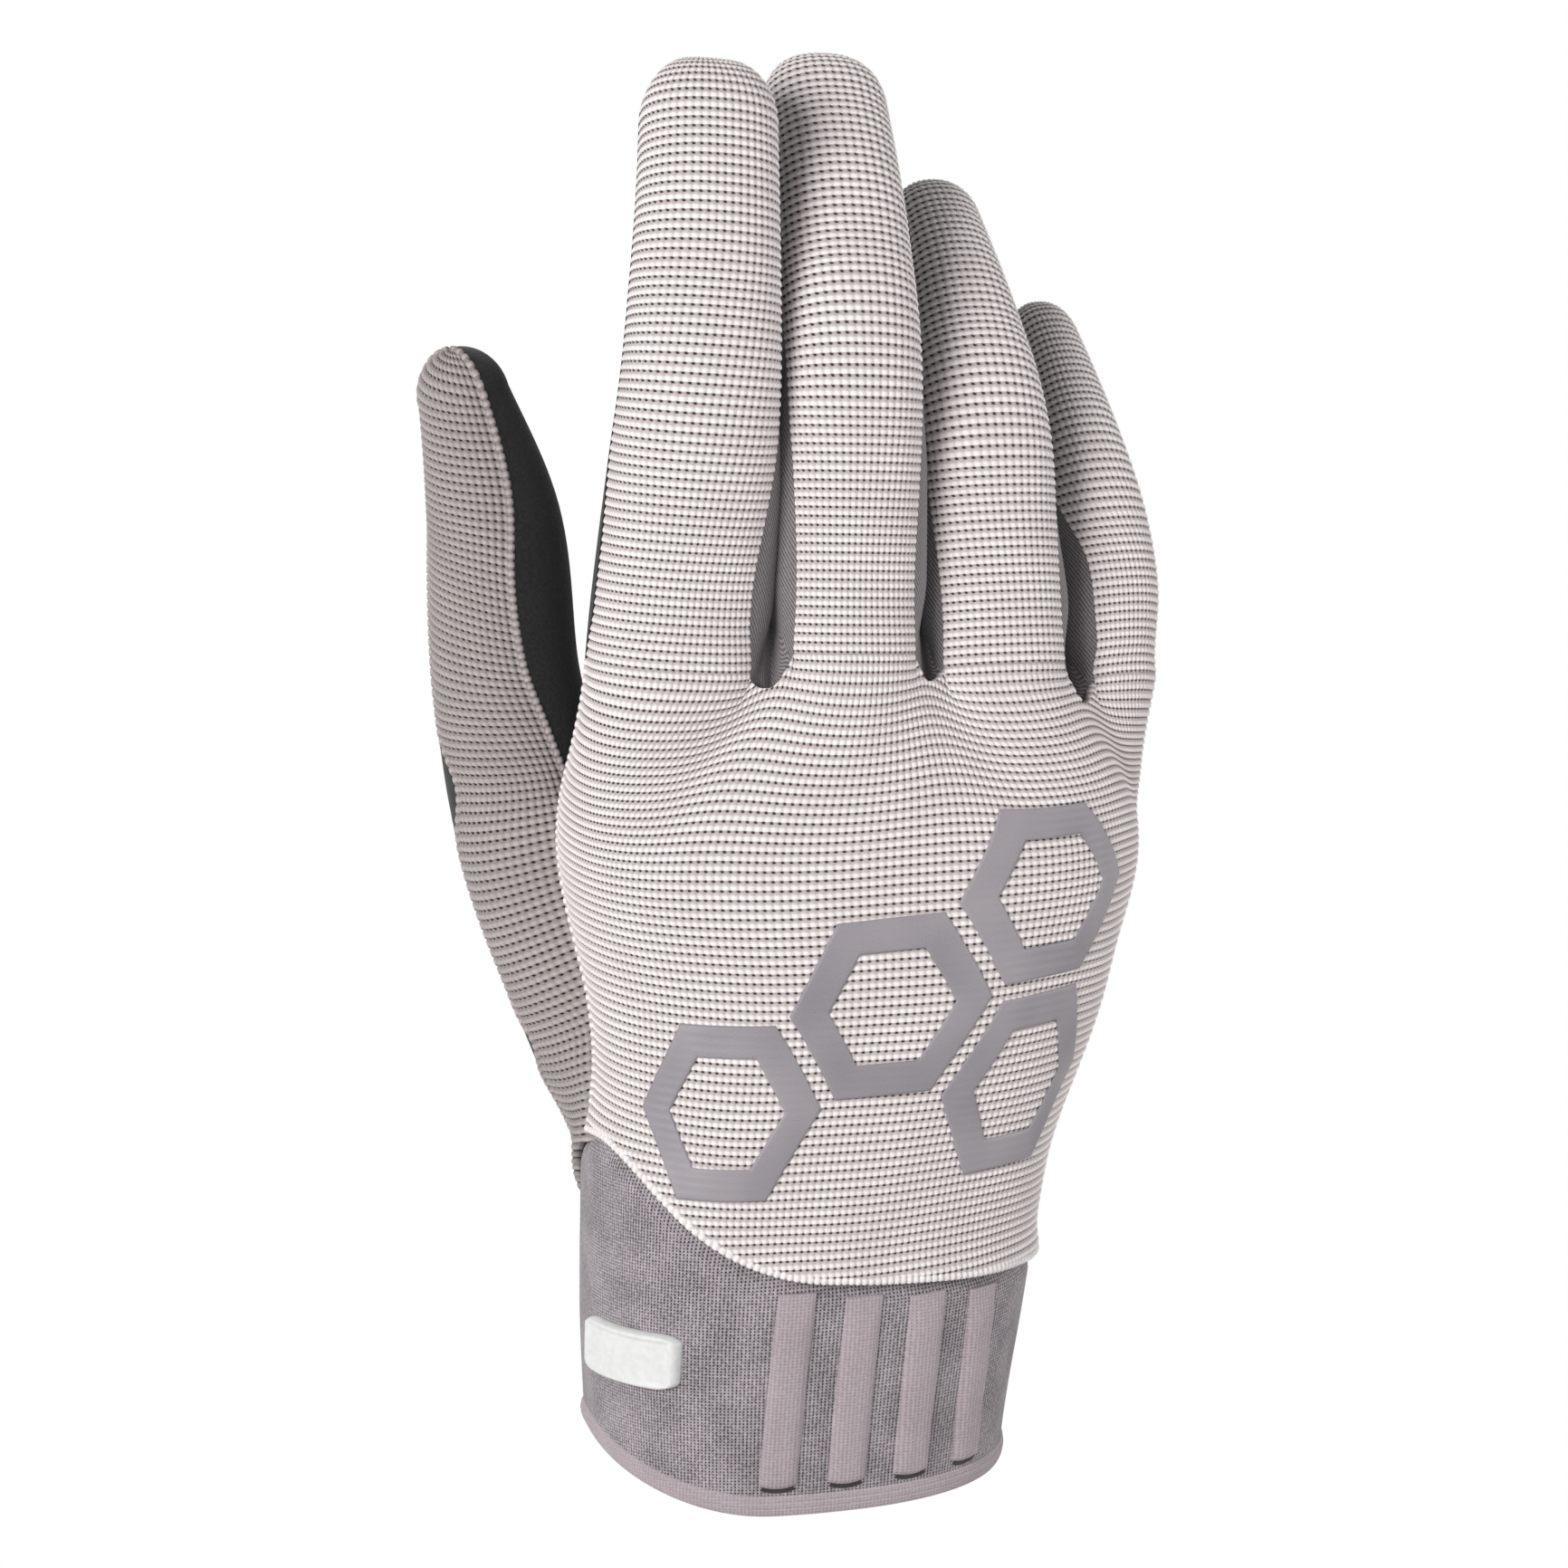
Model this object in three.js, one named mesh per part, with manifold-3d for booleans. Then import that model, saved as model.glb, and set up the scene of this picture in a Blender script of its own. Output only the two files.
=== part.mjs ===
// A slip-on riding glove for the right hand, standing on the hem of its cuff with the fingers up.
// Millimetres. +X runs to the little finger, +Y to the palm, +Z to the fingertips.
// Each sewn panel is a thin closed shell, split where the hand inside it bends.
import * as THREE from "three";
import Module from "manifold-3d";

const wasm = await Module();
wasm.setup();

// Cloth walls and the clearance at a seam
const KNIT_WALL = 1.8;
const SUEDE_WALL = 1.2;
const STRETCH_WALL = 0.9;
const CUFF_WALL = 2.4;
const SEAM_GAP = 0.3;
const CUFF_SEAM_GAP = 0.8;
const THUMB_SEAM_GAP = 0.5;

// Cuff: hem height, how far the hem lifts at each side, and the sloping seam to the hand
const HEM_HEIGHT = 3.4;
const HEM_PROUD = 0.7;
const HEM_THUMB_LIFT = 8.5;
const HEM_THUMB_SPREAD = 74;
const HEM_OUTER_LIFT = 2.6;
const HEM_OUTER_SPREAD = 46;
const CUFF_SEAM_HEIGHT = 36.5;
const CUFF_SEAM_RISE = 21;
const CUFF_SEAM_FALL = 3;
const CUFF_SEAM_SWEEP = 4.2;
const CUFF_SEAM_PEAK = -74;

// Raised strips and the rubber tab on the cuff
const STRIP_COUNT = 4;
const STRIP_WIDTH = 5.4;
const STRIP_PITCH = 10.8;
const STRIP_TOP_GAP = 2;
const STRIP_FOOT = 4.6;
const STRIP_FIRST = -8.5;
const STRIP_SLANT = 0.03;
const STRIP_THICKNESS = 1.1;
const TAB_WIDTH = 24;
const TAB_HEIGHT = 9;
const TAB_CENTRE = -37;
const TAB_FOOT = 20.5;
const TAB_THICKNESS = 1.5;

// Hand between the hem and the web of the fingers: edges at even heights, hem first
const WEB_HEIGHT = 130;
const HAND_LEFT = [-34, -34.8, -34.2, -34, -37];
const HAND_RIGHT = [33, 36.8, 43.2, 53.8, 60];
const HAND_BACK = [-24, -24, -23, -20, -14.5];
const HAND_PALM = [24, 24, 25, 25, 21];
const HAND_SQUARENESS = 2.3;
const KNUCKLE_REACH = 46;
const KNUCKLE_FADE = 2.2;
const LEFT_SEAM_ANGLE = -98;
const RIGHT_SEAM_ANGLE = 95;
const PALM_SWELL = 2;
const COLUMN_EVENNESS = 0.5;

// Fingers from the thumb's side to the little finger. Sizes are outside the cloth, bends in degrees
const FINGER_GAP = 1.6;
const MIDDLE_X = 7.9;
const FINGER_SQUARENESS = 2.3;
const TIP_CAP = 10.5;
const CROTCH_DIP = 3;
const BACK_ROOT_HALF_ANGLE = 46;
const BACK_HALF_ANGLE = 62;
const PALM_HALF_ANGLE = 66;
const SIDE_STRIP_END = 0.8;
const SIDE_STRIP_TOP = 0.72;
const SEAM_STRAIGHT = 0.3;
const TAPER_START = 0.35;
const TAPER_END = 1.05;
const FINGERS = [
  {
    name: "index", baseY: 2.5, baseRise: 1, lean: 5.4, pitch: 3, length: 93.5,
    midKnuckle: 44, endKnuckle: 69, midBend: 9, endBend: 8, halfWidth: 12.7, tipHalfWidth: 10.7,
    halfDepth: 10.8, tipHalfDepth: 9, tipFlatness: 0.26,
  },
  {
    name: "middle", baseY: 0.5, baseRise: 2, lean: 3.2, pitch: 9, length: 99,
    midKnuckle: 47, endKnuckle: 74, midBend: 22, endBend: 12, halfWidth: 11.5, tipHalfWidth: 10.2,
    halfDepth: 10.8, tipHalfDepth: 9, tipFlatness: 0.24,
  },
  {
    name: "ring", baseY: 2, baseRise: -2, lean: 0.5, pitch: 15, length: 87,
    midKnuckle: 40, endKnuckle: 64, midBend: 27, endBend: 13, halfWidth: 11.5, tipHalfWidth: 8.6,
    halfDepth: 10.2, tipHalfDepth: 8.6, tipFlatness: 0.1,
  },
  {
    name: "little", baseY: 7.5, baseRise: -6.5, lean: -2.2, pitch: 21, length: 70,
    midKnuckle: 34, endKnuckle: 54, midBend: 25, endBend: 13, halfWidth: 8.3, tipHalfWidth: 7,
    halfDepth: 9.2, tipHalfDepth: 7.8, tipFlatness: 0.1,
  },
];
const BEND_SPAN = 18;

// Thumb: its line from inside the palm to the tip, with half sizes along it, and its two bends
const THUMB_LINE = [
  [-15, 6, 40], [-26, 11, 70], [-37, 18, 98], [-42, 23, 124], [-43.6, 25, 151], [-50.6, 26, 178],
];
const THUMB_HALF_WIDTH = [15.4, 16, 14, 11.6, 10.4, 6.4];
const THUMB_HALF_DEPTH = [14, 16, 13.6, 11.6, 10.6, 5.6];
const THUMB_BACK_TURN = -40;
const THUMB_KNUCKLE = 0.61;
const THUMB_END_KNUCKLE = 0.8;
const THUMB_BACK_ANGLES = [-70, 46];
const THUMB_SEAM_STRAIGHT = 0.75;
const THUMB_CAP = 8;
const THUMB_TIP_FLATNESS = 0.05;
const THUMB_SQUARENESS = 2.1;

// Mesh steps
const FINGER_ARC_STEPS = 7;
const FINGER_ROWS = 4;
const TIP_ROWS = 4;
const CAP_ROWS = 5;
const SIDE_STEPS = 2;
const CROTCH_STEPS = 3;
const HAND_ROWS = 8;
const SIDE_SEAM_STEPS = 4;
const CUFF_ROWS = 4;
const THUMB_ARC_STEPS = 9;
const THUMB_ROWS = 9;
const THUMB_EDGE_STEPS = 200;
const TAB_STEPS = 6;

// Finishes
const KNIT_BACK = new THREE.MeshStandardMaterial({ color: "#d6cdca", roughness: 0.9, metalness: 0 });
const SUEDE_PALM = new THREE.MeshStandardMaterial({ color: "#2f2f31", roughness: 0.95, metalness: 0 });
const STRETCH_SIDE = new THREE.MeshStandardMaterial({ color: "#96908f", roughness: 0.8, metalness: 0 });
const CUFF_CLOTH = new THREE.MeshStandardMaterial({ color: "#878084", roughness: 0.85, metalness: 0 });
const CUFF_STRIP = new THREE.MeshStandardMaterial({ color: "#9b9195", roughness: 0.8, metalness: 0 });
const RUBBER_TAB = new THREE.MeshStandardMaterial({ color: "#e1e2e1", roughness: 0.5, metalness: 0 });

const { clamp, degToRad, lerp, smoothstep } = THREE.MathUtils;
const FULL_TURN = 2 * Math.PI;

// Values at even steps, joined by a smooth curve
function smoothValue(values, place) {
  const last = values.length - 1;
  const start = clamp(Math.floor(place), 0, last - 1);
  const t = place - start;
  const [p0, p1, p2, p3] = [-1, 0, 1, 2].map((k) => values[clamp(start + k, 0, last)]);
  const slope1 = (p2 - p0) / 2;
  const slope2 = (p3 - p1) / 2;
  const cubic = 2 * p1 - 2 * p2 + slope1 + slope2;
  const square = -3 * p1 + 3 * p2 - 2 * slope1 - slope2;
  return ((cubic * t + square) * t + slope1) * t + p1;
}

// A point of a rounded section of half size 1: sideways and towards the back, at an angle from the back
function roundedUnit(angle, squareness) {
  const [s, c] = [Math.sin(angle), Math.cos(angle)];
  const r = (Math.abs(s) ** squareness + Math.abs(c) ** squareness) ** (-1 / squareness);
  return [r * s, r * c];
}

// Triangles of a grid of points, rows of equal length; flip turns them inside out
function gridFaces(columns, rows, offset, flip) {
  const faces = [];
  for (let row = 0; row + 1 < rows; row += 1) {
    for (let column = 0; column + 1 < columns; column += 1) {
      const a = offset + row * columns + column;
      const [b, c, d] = [a + 1, a + columns + 1, a + columns];
      faces.push(...(flip ? [a, c, b, a, d, c] : [a, b, c, a, c, d]));
    }
  }
  return faces;
}

function geometryOf(points, faces) {
  const geometry = new THREE.BufferGeometry();
  geometry.setAttribute("position", new THREE.Float32BufferAttribute(points.flatMap((p) => p.toArray()), 3));
  geometry.setIndex(faces);
  return geometry;
}

// A closed cloth panel between an outer and an inner grid. outer(u, v) and inner(u, v) give points,
// with u rising from left to right as seen from outside when v rises upwards
function panel(outer, inner, uValues, vValues) {
  const points = [];
  for (const surface of [outer, inner]) {
    for (const v of vValues) {
      for (const u of uValues) points.push(surface(u, v));
    }
  }
  const [columns, rows] = [uValues.length, vValues.length];
  const layer = columns * rows;
  const faces = [...gridFaces(columns, rows, 0, false), ...gridFaces(columns, rows, layer, true)];
  const border = [];
  for (let c = 0; c < columns - 1; c += 1) border.push(c);
  for (let r = 0; r < rows - 1; r += 1) border.push(r * columns + columns - 1);
  for (let c = columns - 1; c > 0; c -= 1) border.push((rows - 1) * columns + c);
  for (let r = rows - 1; r > 0; r -= 1) border.push(r * columns);
  border.forEach((a, k) => {
    const b = border[(k + 1) % border.length];
    faces.push(b, a, a + layer, b, a + layer, b + layer);
  });
  return geometryOf(points, faces);
}

// A closed tube wall: outer(angle, v) and inner(angle, v) go once round through rising angles
function sleeve(outer, inner, angles, vValues) {
  const points = [];
  for (const surface of [outer, inner]) {
    for (const v of vValues) {
      for (const angle of angles) points.push(surface(angle, v));
    }
  }
  const [columns, rows] = [angles.length, vValues.length];
  const layer = columns * rows;
  const faces = [];
  const quad = (a, b, c, d) => faces.push(a, b, c, a, c, d);
  for (let k = 0; k < columns; k += 1) {
    const next = (k + 1) % columns;
    for (let row = 0; row + 1 < rows; row += 1) {
      const [low, high] = [row * columns, (row + 1) * columns];
      quad(low + k, low + next, high + next, high + k);
      quad(layer + low + next, layer + low + k, layer + high + k, layer + high + next);
    }
    const top = (rows - 1) * columns;
    quad(next, k, layer + k, layer + next);
    quad(top + k, top + next, layer + top + next, layer + top + k);
  }
  return geometryOf(points, faces);
}

// A solid between closed rings of points, with a fan at each end
function ringSolid(rings) {
  const steps = rings[0].length;
  const points = rings.flat();
  const middle = (ring) => ring.reduce((sum, p) => sum.add(p), new THREE.Vector3()).divideScalar(ring.length);
  const bottom = points.push(middle(rings[0])) - 1;
  const top = points.push(middle(rings[rings.length - 1])) - 1;
  const faces = [];
  for (let k = 0; k < steps; k += 1) {
    const next = (k + 1) % steps;
    for (let row = 0; row + 1 < rings.length; row += 1) {
      const [low, high] = [row * steps, (row + 1) * steps];
      faces.push(low + k, low + next, high + next, low + k, high + next, high + k);
    }
    const last = (rings.length - 1) * steps;
    faces.push(next, k, bottom, last + k, last + next, top);
  }
  return geometryOf(points, faces);
}

function toManifold(geometry) {
  const vertProperties = geometry.getAttribute("position").array;
  const triVerts = Uint32Array.from(geometry.getIndex().array);
  return new wasm.Manifold(new wasm.Mesh({ numProp: 3, vertProperties, triVerts }));
}

// The largest piece that is left of a panel when a solid is cut away from it
function cutAway(geometry, ...solids) {
  let left = toManifold(geometry);
  for (const solid of solids) left = left.subtract(toManifold(solid));
  const pieces = left.decompose().sort((a, b) => b.volume() - a.volume());
  const mesh = pieces[0].getMesh();
  const cut = new THREE.BufferGeometry();
  const position = [];
  for (let k = 0; k < mesh.numVert; k += 1) {
    position.push(...mesh.vertProperties.slice(k * mesh.numProp, k * mesh.numProp + 3));
  }
  cut.setAttribute("position", new THREE.Float32BufferAttribute(position, 3));
  cut.setIndex([...mesh.triVerts]);
  return cut;
}

const steps = (from, to, count) => Array.from({ length: count + 1 }, (_, k) => lerp(from, to, k / count));

// Fingers

// Finger roots above the web's height, and their middles across it, each a gap from its neighbour
for (const finger of FINGERS) finger.baseZ = WEB_HEIGHT + finger.baseRise;
FINGERS[1].baseX = MIDDLE_X;
FINGERS[0].baseX = MIDDLE_X - FINGERS[1].halfWidth - FINGER_GAP - FINGERS[0].halfWidth;
FINGERS[2].baseX = MIDDLE_X + FINGERS[1].halfWidth + FINGER_GAP + FINGERS[2].halfWidth;
FINGERS[3].baseX = FINGERS[2].baseX + FINGERS[2].halfWidth + FINGER_GAP + FINGERS[3].halfWidth;

// The line of a finger bends evenly over a short span at each of its two outer knuckles
function fingerFrame(finger, distance) {
  const half = BEND_SPAN / 2;
  const knots = [
    [0, 0], [finger.midKnuckle - half, finger.midBend], [finger.midKnuckle + half, 0],
    [finger.endKnuckle - half, finger.endBend], [finger.endKnuckle + half, 0], [Infinity, 0],
  ];
  let [forward, down, pitch] = [0, 0, degToRad(finger.pitch)];
  for (let k = 0; k + 1 < knots.length; k += 1) {
    const run = Math.min(distance, knots[k + 1][0]) - knots[k][0];
    if (run <= 0) break;
    const turn = degToRad(knots[k][1]) * (run / BEND_SPAN);
    const middle = pitch + turn / 2;
    const chord = turn ? (run * Math.sin(turn / 2)) / (turn / 2) : run;
    forward += chord * Math.cos(middle);
    down += chord * Math.sin(middle);
    pitch += turn;
  }
  const lean = degToRad(finger.lean);
  const side = new THREE.Vector3(Math.cos(lean), 0, -Math.sin(lean));
  const along = new THREE.Vector3(
    Math.sin(lean) * Math.cos(pitch), Math.sin(pitch), Math.cos(lean) * Math.cos(pitch),
  );
  const back = new THREE.Vector3().crossVectors(side, along);
  const point = new THREE.Vector3(
    finger.baseX + forward * Math.sin(lean), finger.baseY + down, finger.baseZ + forward * Math.cos(lean),
  );
  return { point, along, side, back };
}

// Half sizes at a place along a finger: 0 to 1 is the straight tube, 1 to 2 the rounded tip
function fingerSection(finger, place, inset) {
  const straight = finger.length - TIP_CAP;
  const round = degToRad(90) * clamp(place - 1, 0, 1);
  const distance = straight * Math.min(place, 1) + (TIP_CAP - inset) * Math.sin(round);
  const share = Math.min(distance, straight) / straight;
  const taper = smoothstep(share, TAPER_START, TAPER_END);
  const width = lerp(finger.halfWidth, finger.tipHalfWidth, taper) - inset;
  const depth = lerp(finger.halfDepth, finger.tipHalfDepth, share) - inset;
  const shrink = Math.cos(round);
  return {
    distance, round,
    halfWidth: width * lerp(finger.tipFlatness, 1, shrink),
    halfDepth: depth * shrink,
  };
}

const fingerPlace = (finger, distance) => distance / (finger.length - TIP_CAP);

// A point on a finger. towards is +1 on the back of the tip's seam, -1 on its palm side and 0 elsewhere
function fingerPoint(finger, place, angle, inset, towards = 0) {
  const { distance, round, halfWidth, halfDepth } = fingerSection(finger, place, inset);
  const { point, side, back } = fingerFrame(finger, distance);
  const [x, y] = roundedUnit(angle, FINGER_SQUARENESS);
  const apart = (towards * SEAM_GAP * Math.sin(round)) / 2;
  return point.clone().addScaledVector(side, x * halfWidth).addScaledVector(back, y * halfDepth + apart);
}

const leftMost = (finger) => finger === FINGERS[0];
const rightMost = (finger) => finger === FINGERS[FINGERS.length - 1];

// Seam angles round a finger at a place along it. The side strips show most at the root of the finger and
// narrow to nothing before the tip
function fingerSeams(finger, place) {
  const closing = smoothstep(place, SEAM_STRAIGHT, SIDE_STRIP_END);
  const opening = lerp(BACK_ROOT_HALF_ANGLE, BACK_HALF_ANGLE, smoothstep(place, 0, SEAM_STRAIGHT));
  const backEdge = degToRad(lerp(opening, 90, closing));
  const palmEdge = degToRad(lerp(180 - PALM_HALF_ANGLE, 90, closing));
  const outer = smoothstep(place, SEAM_STRAIGHT, 1);
  const left = degToRad(lerp(LEFT_SEAM_ANGLE, -90, outer));
  const right = degToRad(lerp(RIGHT_SEAM_ANGLE, 90, outer));
  return {
    backLeft: leftMost(finger) ? left : -backEdge,
    backRight: rightMost(finger) ? right : backEdge,
    palmLeft: leftMost(finger) ? left : -palmEdge,
    palmRight: rightMost(finger) ? right : palmEdge,
  };
}

// Half a seam's clearance as an angle round a finger
function seamAngle(finger, place) {
  const { halfWidth } = fingerSection(finger, Math.min(place, 1), 0);
  return SEAM_GAP / 2 / halfWidth;
}

// Rows of a finger's outer half: beside the side strips, then to the start of the rounded tip, then over it
const stripPlaces = (from) => steps(from, SIDE_STRIP_TOP, TIP_ROWS);
const tipPlaces = (from) => [...stripPlaces(from), 1, ...steps(1, 2, CAP_ROWS).slice(1)];

function fingerPanel(finger, places, wall, edges, arcSteps, towards) {
  const surface = (inset) => (u, place) => {
    const [from, to] = edges(fingerSeams(finger, place));
    const gap = seamAngle(finger, place);
    return fingerPoint(finger, place, lerp(from + gap, to - gap, u), inset, towards);
  };
  return panel(surface(0), surface(wall), steps(0, 1, arcSteps), places);
}

const backEdges = (seams) => [seams.backLeft, seams.backRight];
const palmEdges = (seams) => [seams.palmRight, seams.palmLeft + FULL_TURN];
const leftEdges = (seams) => [seams.palmLeft, seams.backLeft];
const rightEdges = (seams) => [seams.backRight, seams.palmRight];

// Hand

// Finger roots round the top of the hand, from the thumb's side over the back and home across the palm.
// Each root point keeps its finger, its angle there and whether it lies in the dip between two fingers
function webColumns() {
  const columns = [];
  const seams = FINGERS.map((finger) => fingerSeams(finger, 0));
  const arc = (finger, from, to) => {
    for (const angle of steps(from, to, FINGER_ARC_STEPS)) columns.push({ finger, angle });
  };
  const dip = (finger, angle, nextFinger, nextAngle) => {
    for (const share of steps(0, 1, CROTCH_STEPS).slice(1, -1)) {
      columns.push({ finger, angle, nextFinger, nextAngle, share });
    }
  };
  FINGERS.forEach((finger, k) => {
    arc(finger, ...backEdges(seams[k]));
    if (!rightMost(finger)) dip(finger, seams[k].backRight, FINGERS[k + 1], seams[k + 1].backLeft);
  });
  const backCount = columns.length;
  [...FINGERS].reverse().forEach((finger) => {
    const k = FINGERS.indexOf(finger);
    arc(finger, ...palmEdges(seams[k]));
    if (!leftMost(finger)) dip(finger, seams[k].palmLeft, FINGERS[k - 1], seams[k - 1].palmRight);
  });
  const groups = { back: columns.slice(0, backCount), palm: columns.slice(backCount) };
  Object.values(groups).forEach(spreadColumns);
  return groups;
}

// Where each column starts round the plain hand: near its root point, but in order and not crowded
function spreadColumns(columns) {
  const roots = columns.map((column) => handAngle(webPoint(column, 0)));
  const end = columns.length - 1;
  const rising = roots.map((angle) => (angle < roots[0] ? angle + FULL_TURN : angle)).sort((a, b) => a - b);
  columns.forEach((column, k) => {
    const even = lerp(rising[0], rising[end], k / end);
    column.plain = lerp(rising[k], even, COLUMN_EVENNESS);
  });
}

function webPoint(column, inset) {
  const start = fingerPoint(column.finger, 0, column.angle, inset);
  if (column.share === undefined) return start;
  const end = fingerPoint(column.nextFinger, 0, column.nextAngle, inset);
  const sink = CROTCH_DIP * 4 * column.share * (1 - column.share);
  return start.lerp(end, column.share).setZ(lerp(start.z, end.z, column.share) - sink);
}

const first = FINGERS[0];
const last = FINGERS[FINGERS.length - 1];
const WEB_LEFT = first.baseX - first.halfWidth;
const WEB_RIGHT = last.baseX + last.halfWidth;
const WEB_BACK = FINGERS[1].baseY - FINGERS[1].halfDepth;
const WEB_PALM = FINGERS[1].baseY + FINGERS[1].halfDepth + PALM_SWELL;

// A point of the plain hand, without knuckles, at an angle from the back and a height
function handPoint(angle, z, inset) {
  const place = (z / WEB_HEIGHT) * HAND_LEFT.length;
  const edge = (values, web) => smoothValue([...values, web], place);
  const left = edge(HAND_LEFT, WEB_LEFT) + inset;
  const right = edge(HAND_RIGHT, WEB_RIGHT) - inset;
  const back = edge(HAND_BACK, WEB_BACK) + inset;
  const palm = edge(HAND_PALM, WEB_PALM) - inset;
  const [x, y] = roundedUnit(angle, HAND_SQUARENESS);
  return new THREE.Vector3(
    (left + right) / 2 + (x * (right - left)) / 2, (back + palm) / 2 - (y * (palm - back)) / 2, z,
  );
}

// The angle round the plain hand at which a root point lies
function handAngle(point) {
  const [back, palm] = [handPoint(0, point.z, 0), handPoint(Math.PI, point.z, 0)];
  const [left, right] = [handPoint(-Math.PI / 2, point.z, 0), handPoint(Math.PI / 2, point.z, 0)];
  const x = (point.x - (left.x + right.x) / 2) / ((right.x - left.x) / 2);
  const y = (point.y - (back.y + palm.y) / 2) / ((palm.y - back.y) / 2);
  return Math.atan2(x, -y);
}

// The seam climbs steeply on the thumb's side and falls a little on the other
function cuffSeamHeight(angle) {
  const thumbward = Math.max(0, Math.cos(angle - degToRad(CUFF_SEAM_PEAK)));
  const outward = Math.max(0, Math.sin(angle));
  return CUFF_SEAM_HEIGHT + CUFF_SEAM_RISE * thumbward ** CUFF_SEAM_SWEEP - CUFF_SEAM_FALL * outward;
}

// A point of the hand below a root point: share 0 is the cuff seam and 1 the root of the fingers
function handColumnPoint(column, share, inset, floor) {
  const root = webPoint(column, inset);
  const z = lerp(floor(column.plain), root.z, share);
  const knuckle = smoothstep(z, root.z - KNUCKLE_REACH, root.z) ** KNUCKLE_FADE;
  const plainRoot = handPoint(column.plain, root.z, inset);
  return handPoint(column.plain, z, inset).addScaledVector(root.sub(plainRoot).setZ(0), knuckle);
}

const web = webColumns();

// Columns once round the hand, whose two side seams belong to both panels, and their starting angles,
// which the cuff shares so that the two meet along the same line
const handLoop = [...web.back, ...web.palm.slice(1, -1)];
const handAngles = handLoop.map((column) => column.plain);

// Root columns of a panel with its two side seams drawn in by half a seam's clearance
function seamedColumns(columns) {
  return columns.map((column, k) => {
    const end = k === 0 ? 1 : k === columns.length - 1 ? -1 : 0;
    const gap = seamAngle(column.finger, 0) * end;
    return { ...column, angle: column.angle + gap, plain: column.plain + gap };
  });
}

function handPanel(columns, wall) {
  const seamed = seamedColumns(columns);
  const floor = (angle) => cuffSeamHeight(angle) + CUFF_SEAM_GAP / 2;
  const surface = (inset) => (u, share) => {
    const point = handColumnPoint(seamed[u], share, inset, floor);
    return share === 1 ? point.setZ(point.z - SEAM_GAP / 2) : point;
  };
  const order = seamed.map((_, k) => k);
  return panel(surface(0), surface(wall), order, steps(0, 1, HAND_ROWS));
}

// The filled hand from the hem up, with a clearance round it, for cutting the thumb's root
function handSolid() {
  const rings = steps(0, 1, HAND_ROWS).map((share) =>
    handLoop.map((column) => handColumnPoint(column, share, -THUMB_SEAM_GAP, () => 0)),
  );
  return ringSolid(rings);
}

// Everything round the hand below the cuff seam, for ending the thumb's root there
function belowCuffSeam() {
  const reach = THUMB_HALF_DEPTH[0];
  const seam = (angle) => cuffSeamHeight(angle) + CUFF_SEAM_GAP / 2;
  const ring = (inset, height) => handAngles.map((angle) => handPoint(angle, 0, inset).setZ(height(angle)));
  return ringSolid([ring(-reach, () => 0), ring(-reach, seam), ring(reach, seam)]);
}

// The folded strip at the bottom of the gap between two fingers
function crotchPanel(finger, next) {
  const [seams, nextSeams] = [fingerSeams(finger, 0), fingerSeams(next, 0)];
  const surface = (drop) => (u, v) => {
    const clear = (seamed, wall) => (wall + 2 * SEAM_GAP) / seamed.halfDepth;
    const from = lerp(
      seams.backRight + clear(finger, KNIT_WALL), seams.palmRight - clear(finger, SUEDE_WALL), v,
    );
    const to = lerp(
      nextSeams.backLeft - clear(next, KNIT_WALL), nextSeams.palmLeft + clear(next, SUEDE_WALL), v,
    );
    const inset = STRETCH_WALL * drop;
    const column = { finger, angle: from, nextFinger: next, nextAngle: to, share: u };
    const point = webPoint(column, inset);
    return point.setZ(point.z - SEAM_GAP / 2 - STRETCH_WALL * drop * (1 - Math.abs(2 * u - 1)));
  };
  return panel(surface(0), surface(1), steps(0, 1, CROTCH_STEPS), steps(0, 1, SIDE_SEAM_STEPS));
}

// Thumb

const thumbKnots = THUMB_LINE.map((knot) => new THREE.Vector3(...knot));
const thumbCurve = new THREE.CatmullRomCurve3(thumbKnots, false, "centripetal");
const thumbLength = thumbCurve.getLength();

function thumbFrame(share) {
  const along = thumbCurve.getTangentAt(clamp(share, 0, 1));
  const turn = degToRad(THUMB_BACK_TURN);
  const outward = new THREE.Vector3(Math.sin(turn), -Math.cos(turn), 0);
  const side = new THREE.Vector3().crossVectors(along, outward).normalize();
  const back = new THREE.Vector3().crossVectors(side, along);
  return { point: thumbCurve.getPointAt(clamp(share, 0, 1)), along, side, back };
}

// A point on the thumb: place 0 to 1 is the tube, 1 to 2 its rounded tip
function thumbPoint(place, angle, inset, towards = 0) {
  const straight = 1 - THUMB_CAP / thumbLength;
  const round = degToRad(90) * clamp(place - 1, 0, 1);
  const share = straight * Math.min(place, 1) + ((THUMB_CAP - inset) / thumbLength) * Math.sin(round);
  const { point, side, back } = thumbFrame(share);
  const knot = thumbCurve.getUtoTmapping(Math.min(share, straight)) * (THUMB_LINE.length - 1);
  const width = smoothValue(THUMB_HALF_WIDTH, knot) - inset;
  const depth = smoothValue(THUMB_HALF_DEPTH, knot) - inset;
  const [x, y] = roundedUnit(angle, THUMB_SQUARENESS);
  const apart = (towards * SEAM_GAP * Math.sin(round)) / 2;
  return point
    .addScaledVector(side, x * width * lerp(THUMB_TIP_FLATNESS, 1, Math.cos(round)))
    .addScaledVector(back, y * depth * Math.cos(round) + apart);
}

function thumbSeams(place) {
  const closing = smoothstep(place, THUMB_SEAM_STRAIGHT, 1);
  return THUMB_BACK_ANGLES.map((angle) => degToRad(lerp(angle, Math.sign(angle) * 90, closing)));
}

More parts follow.
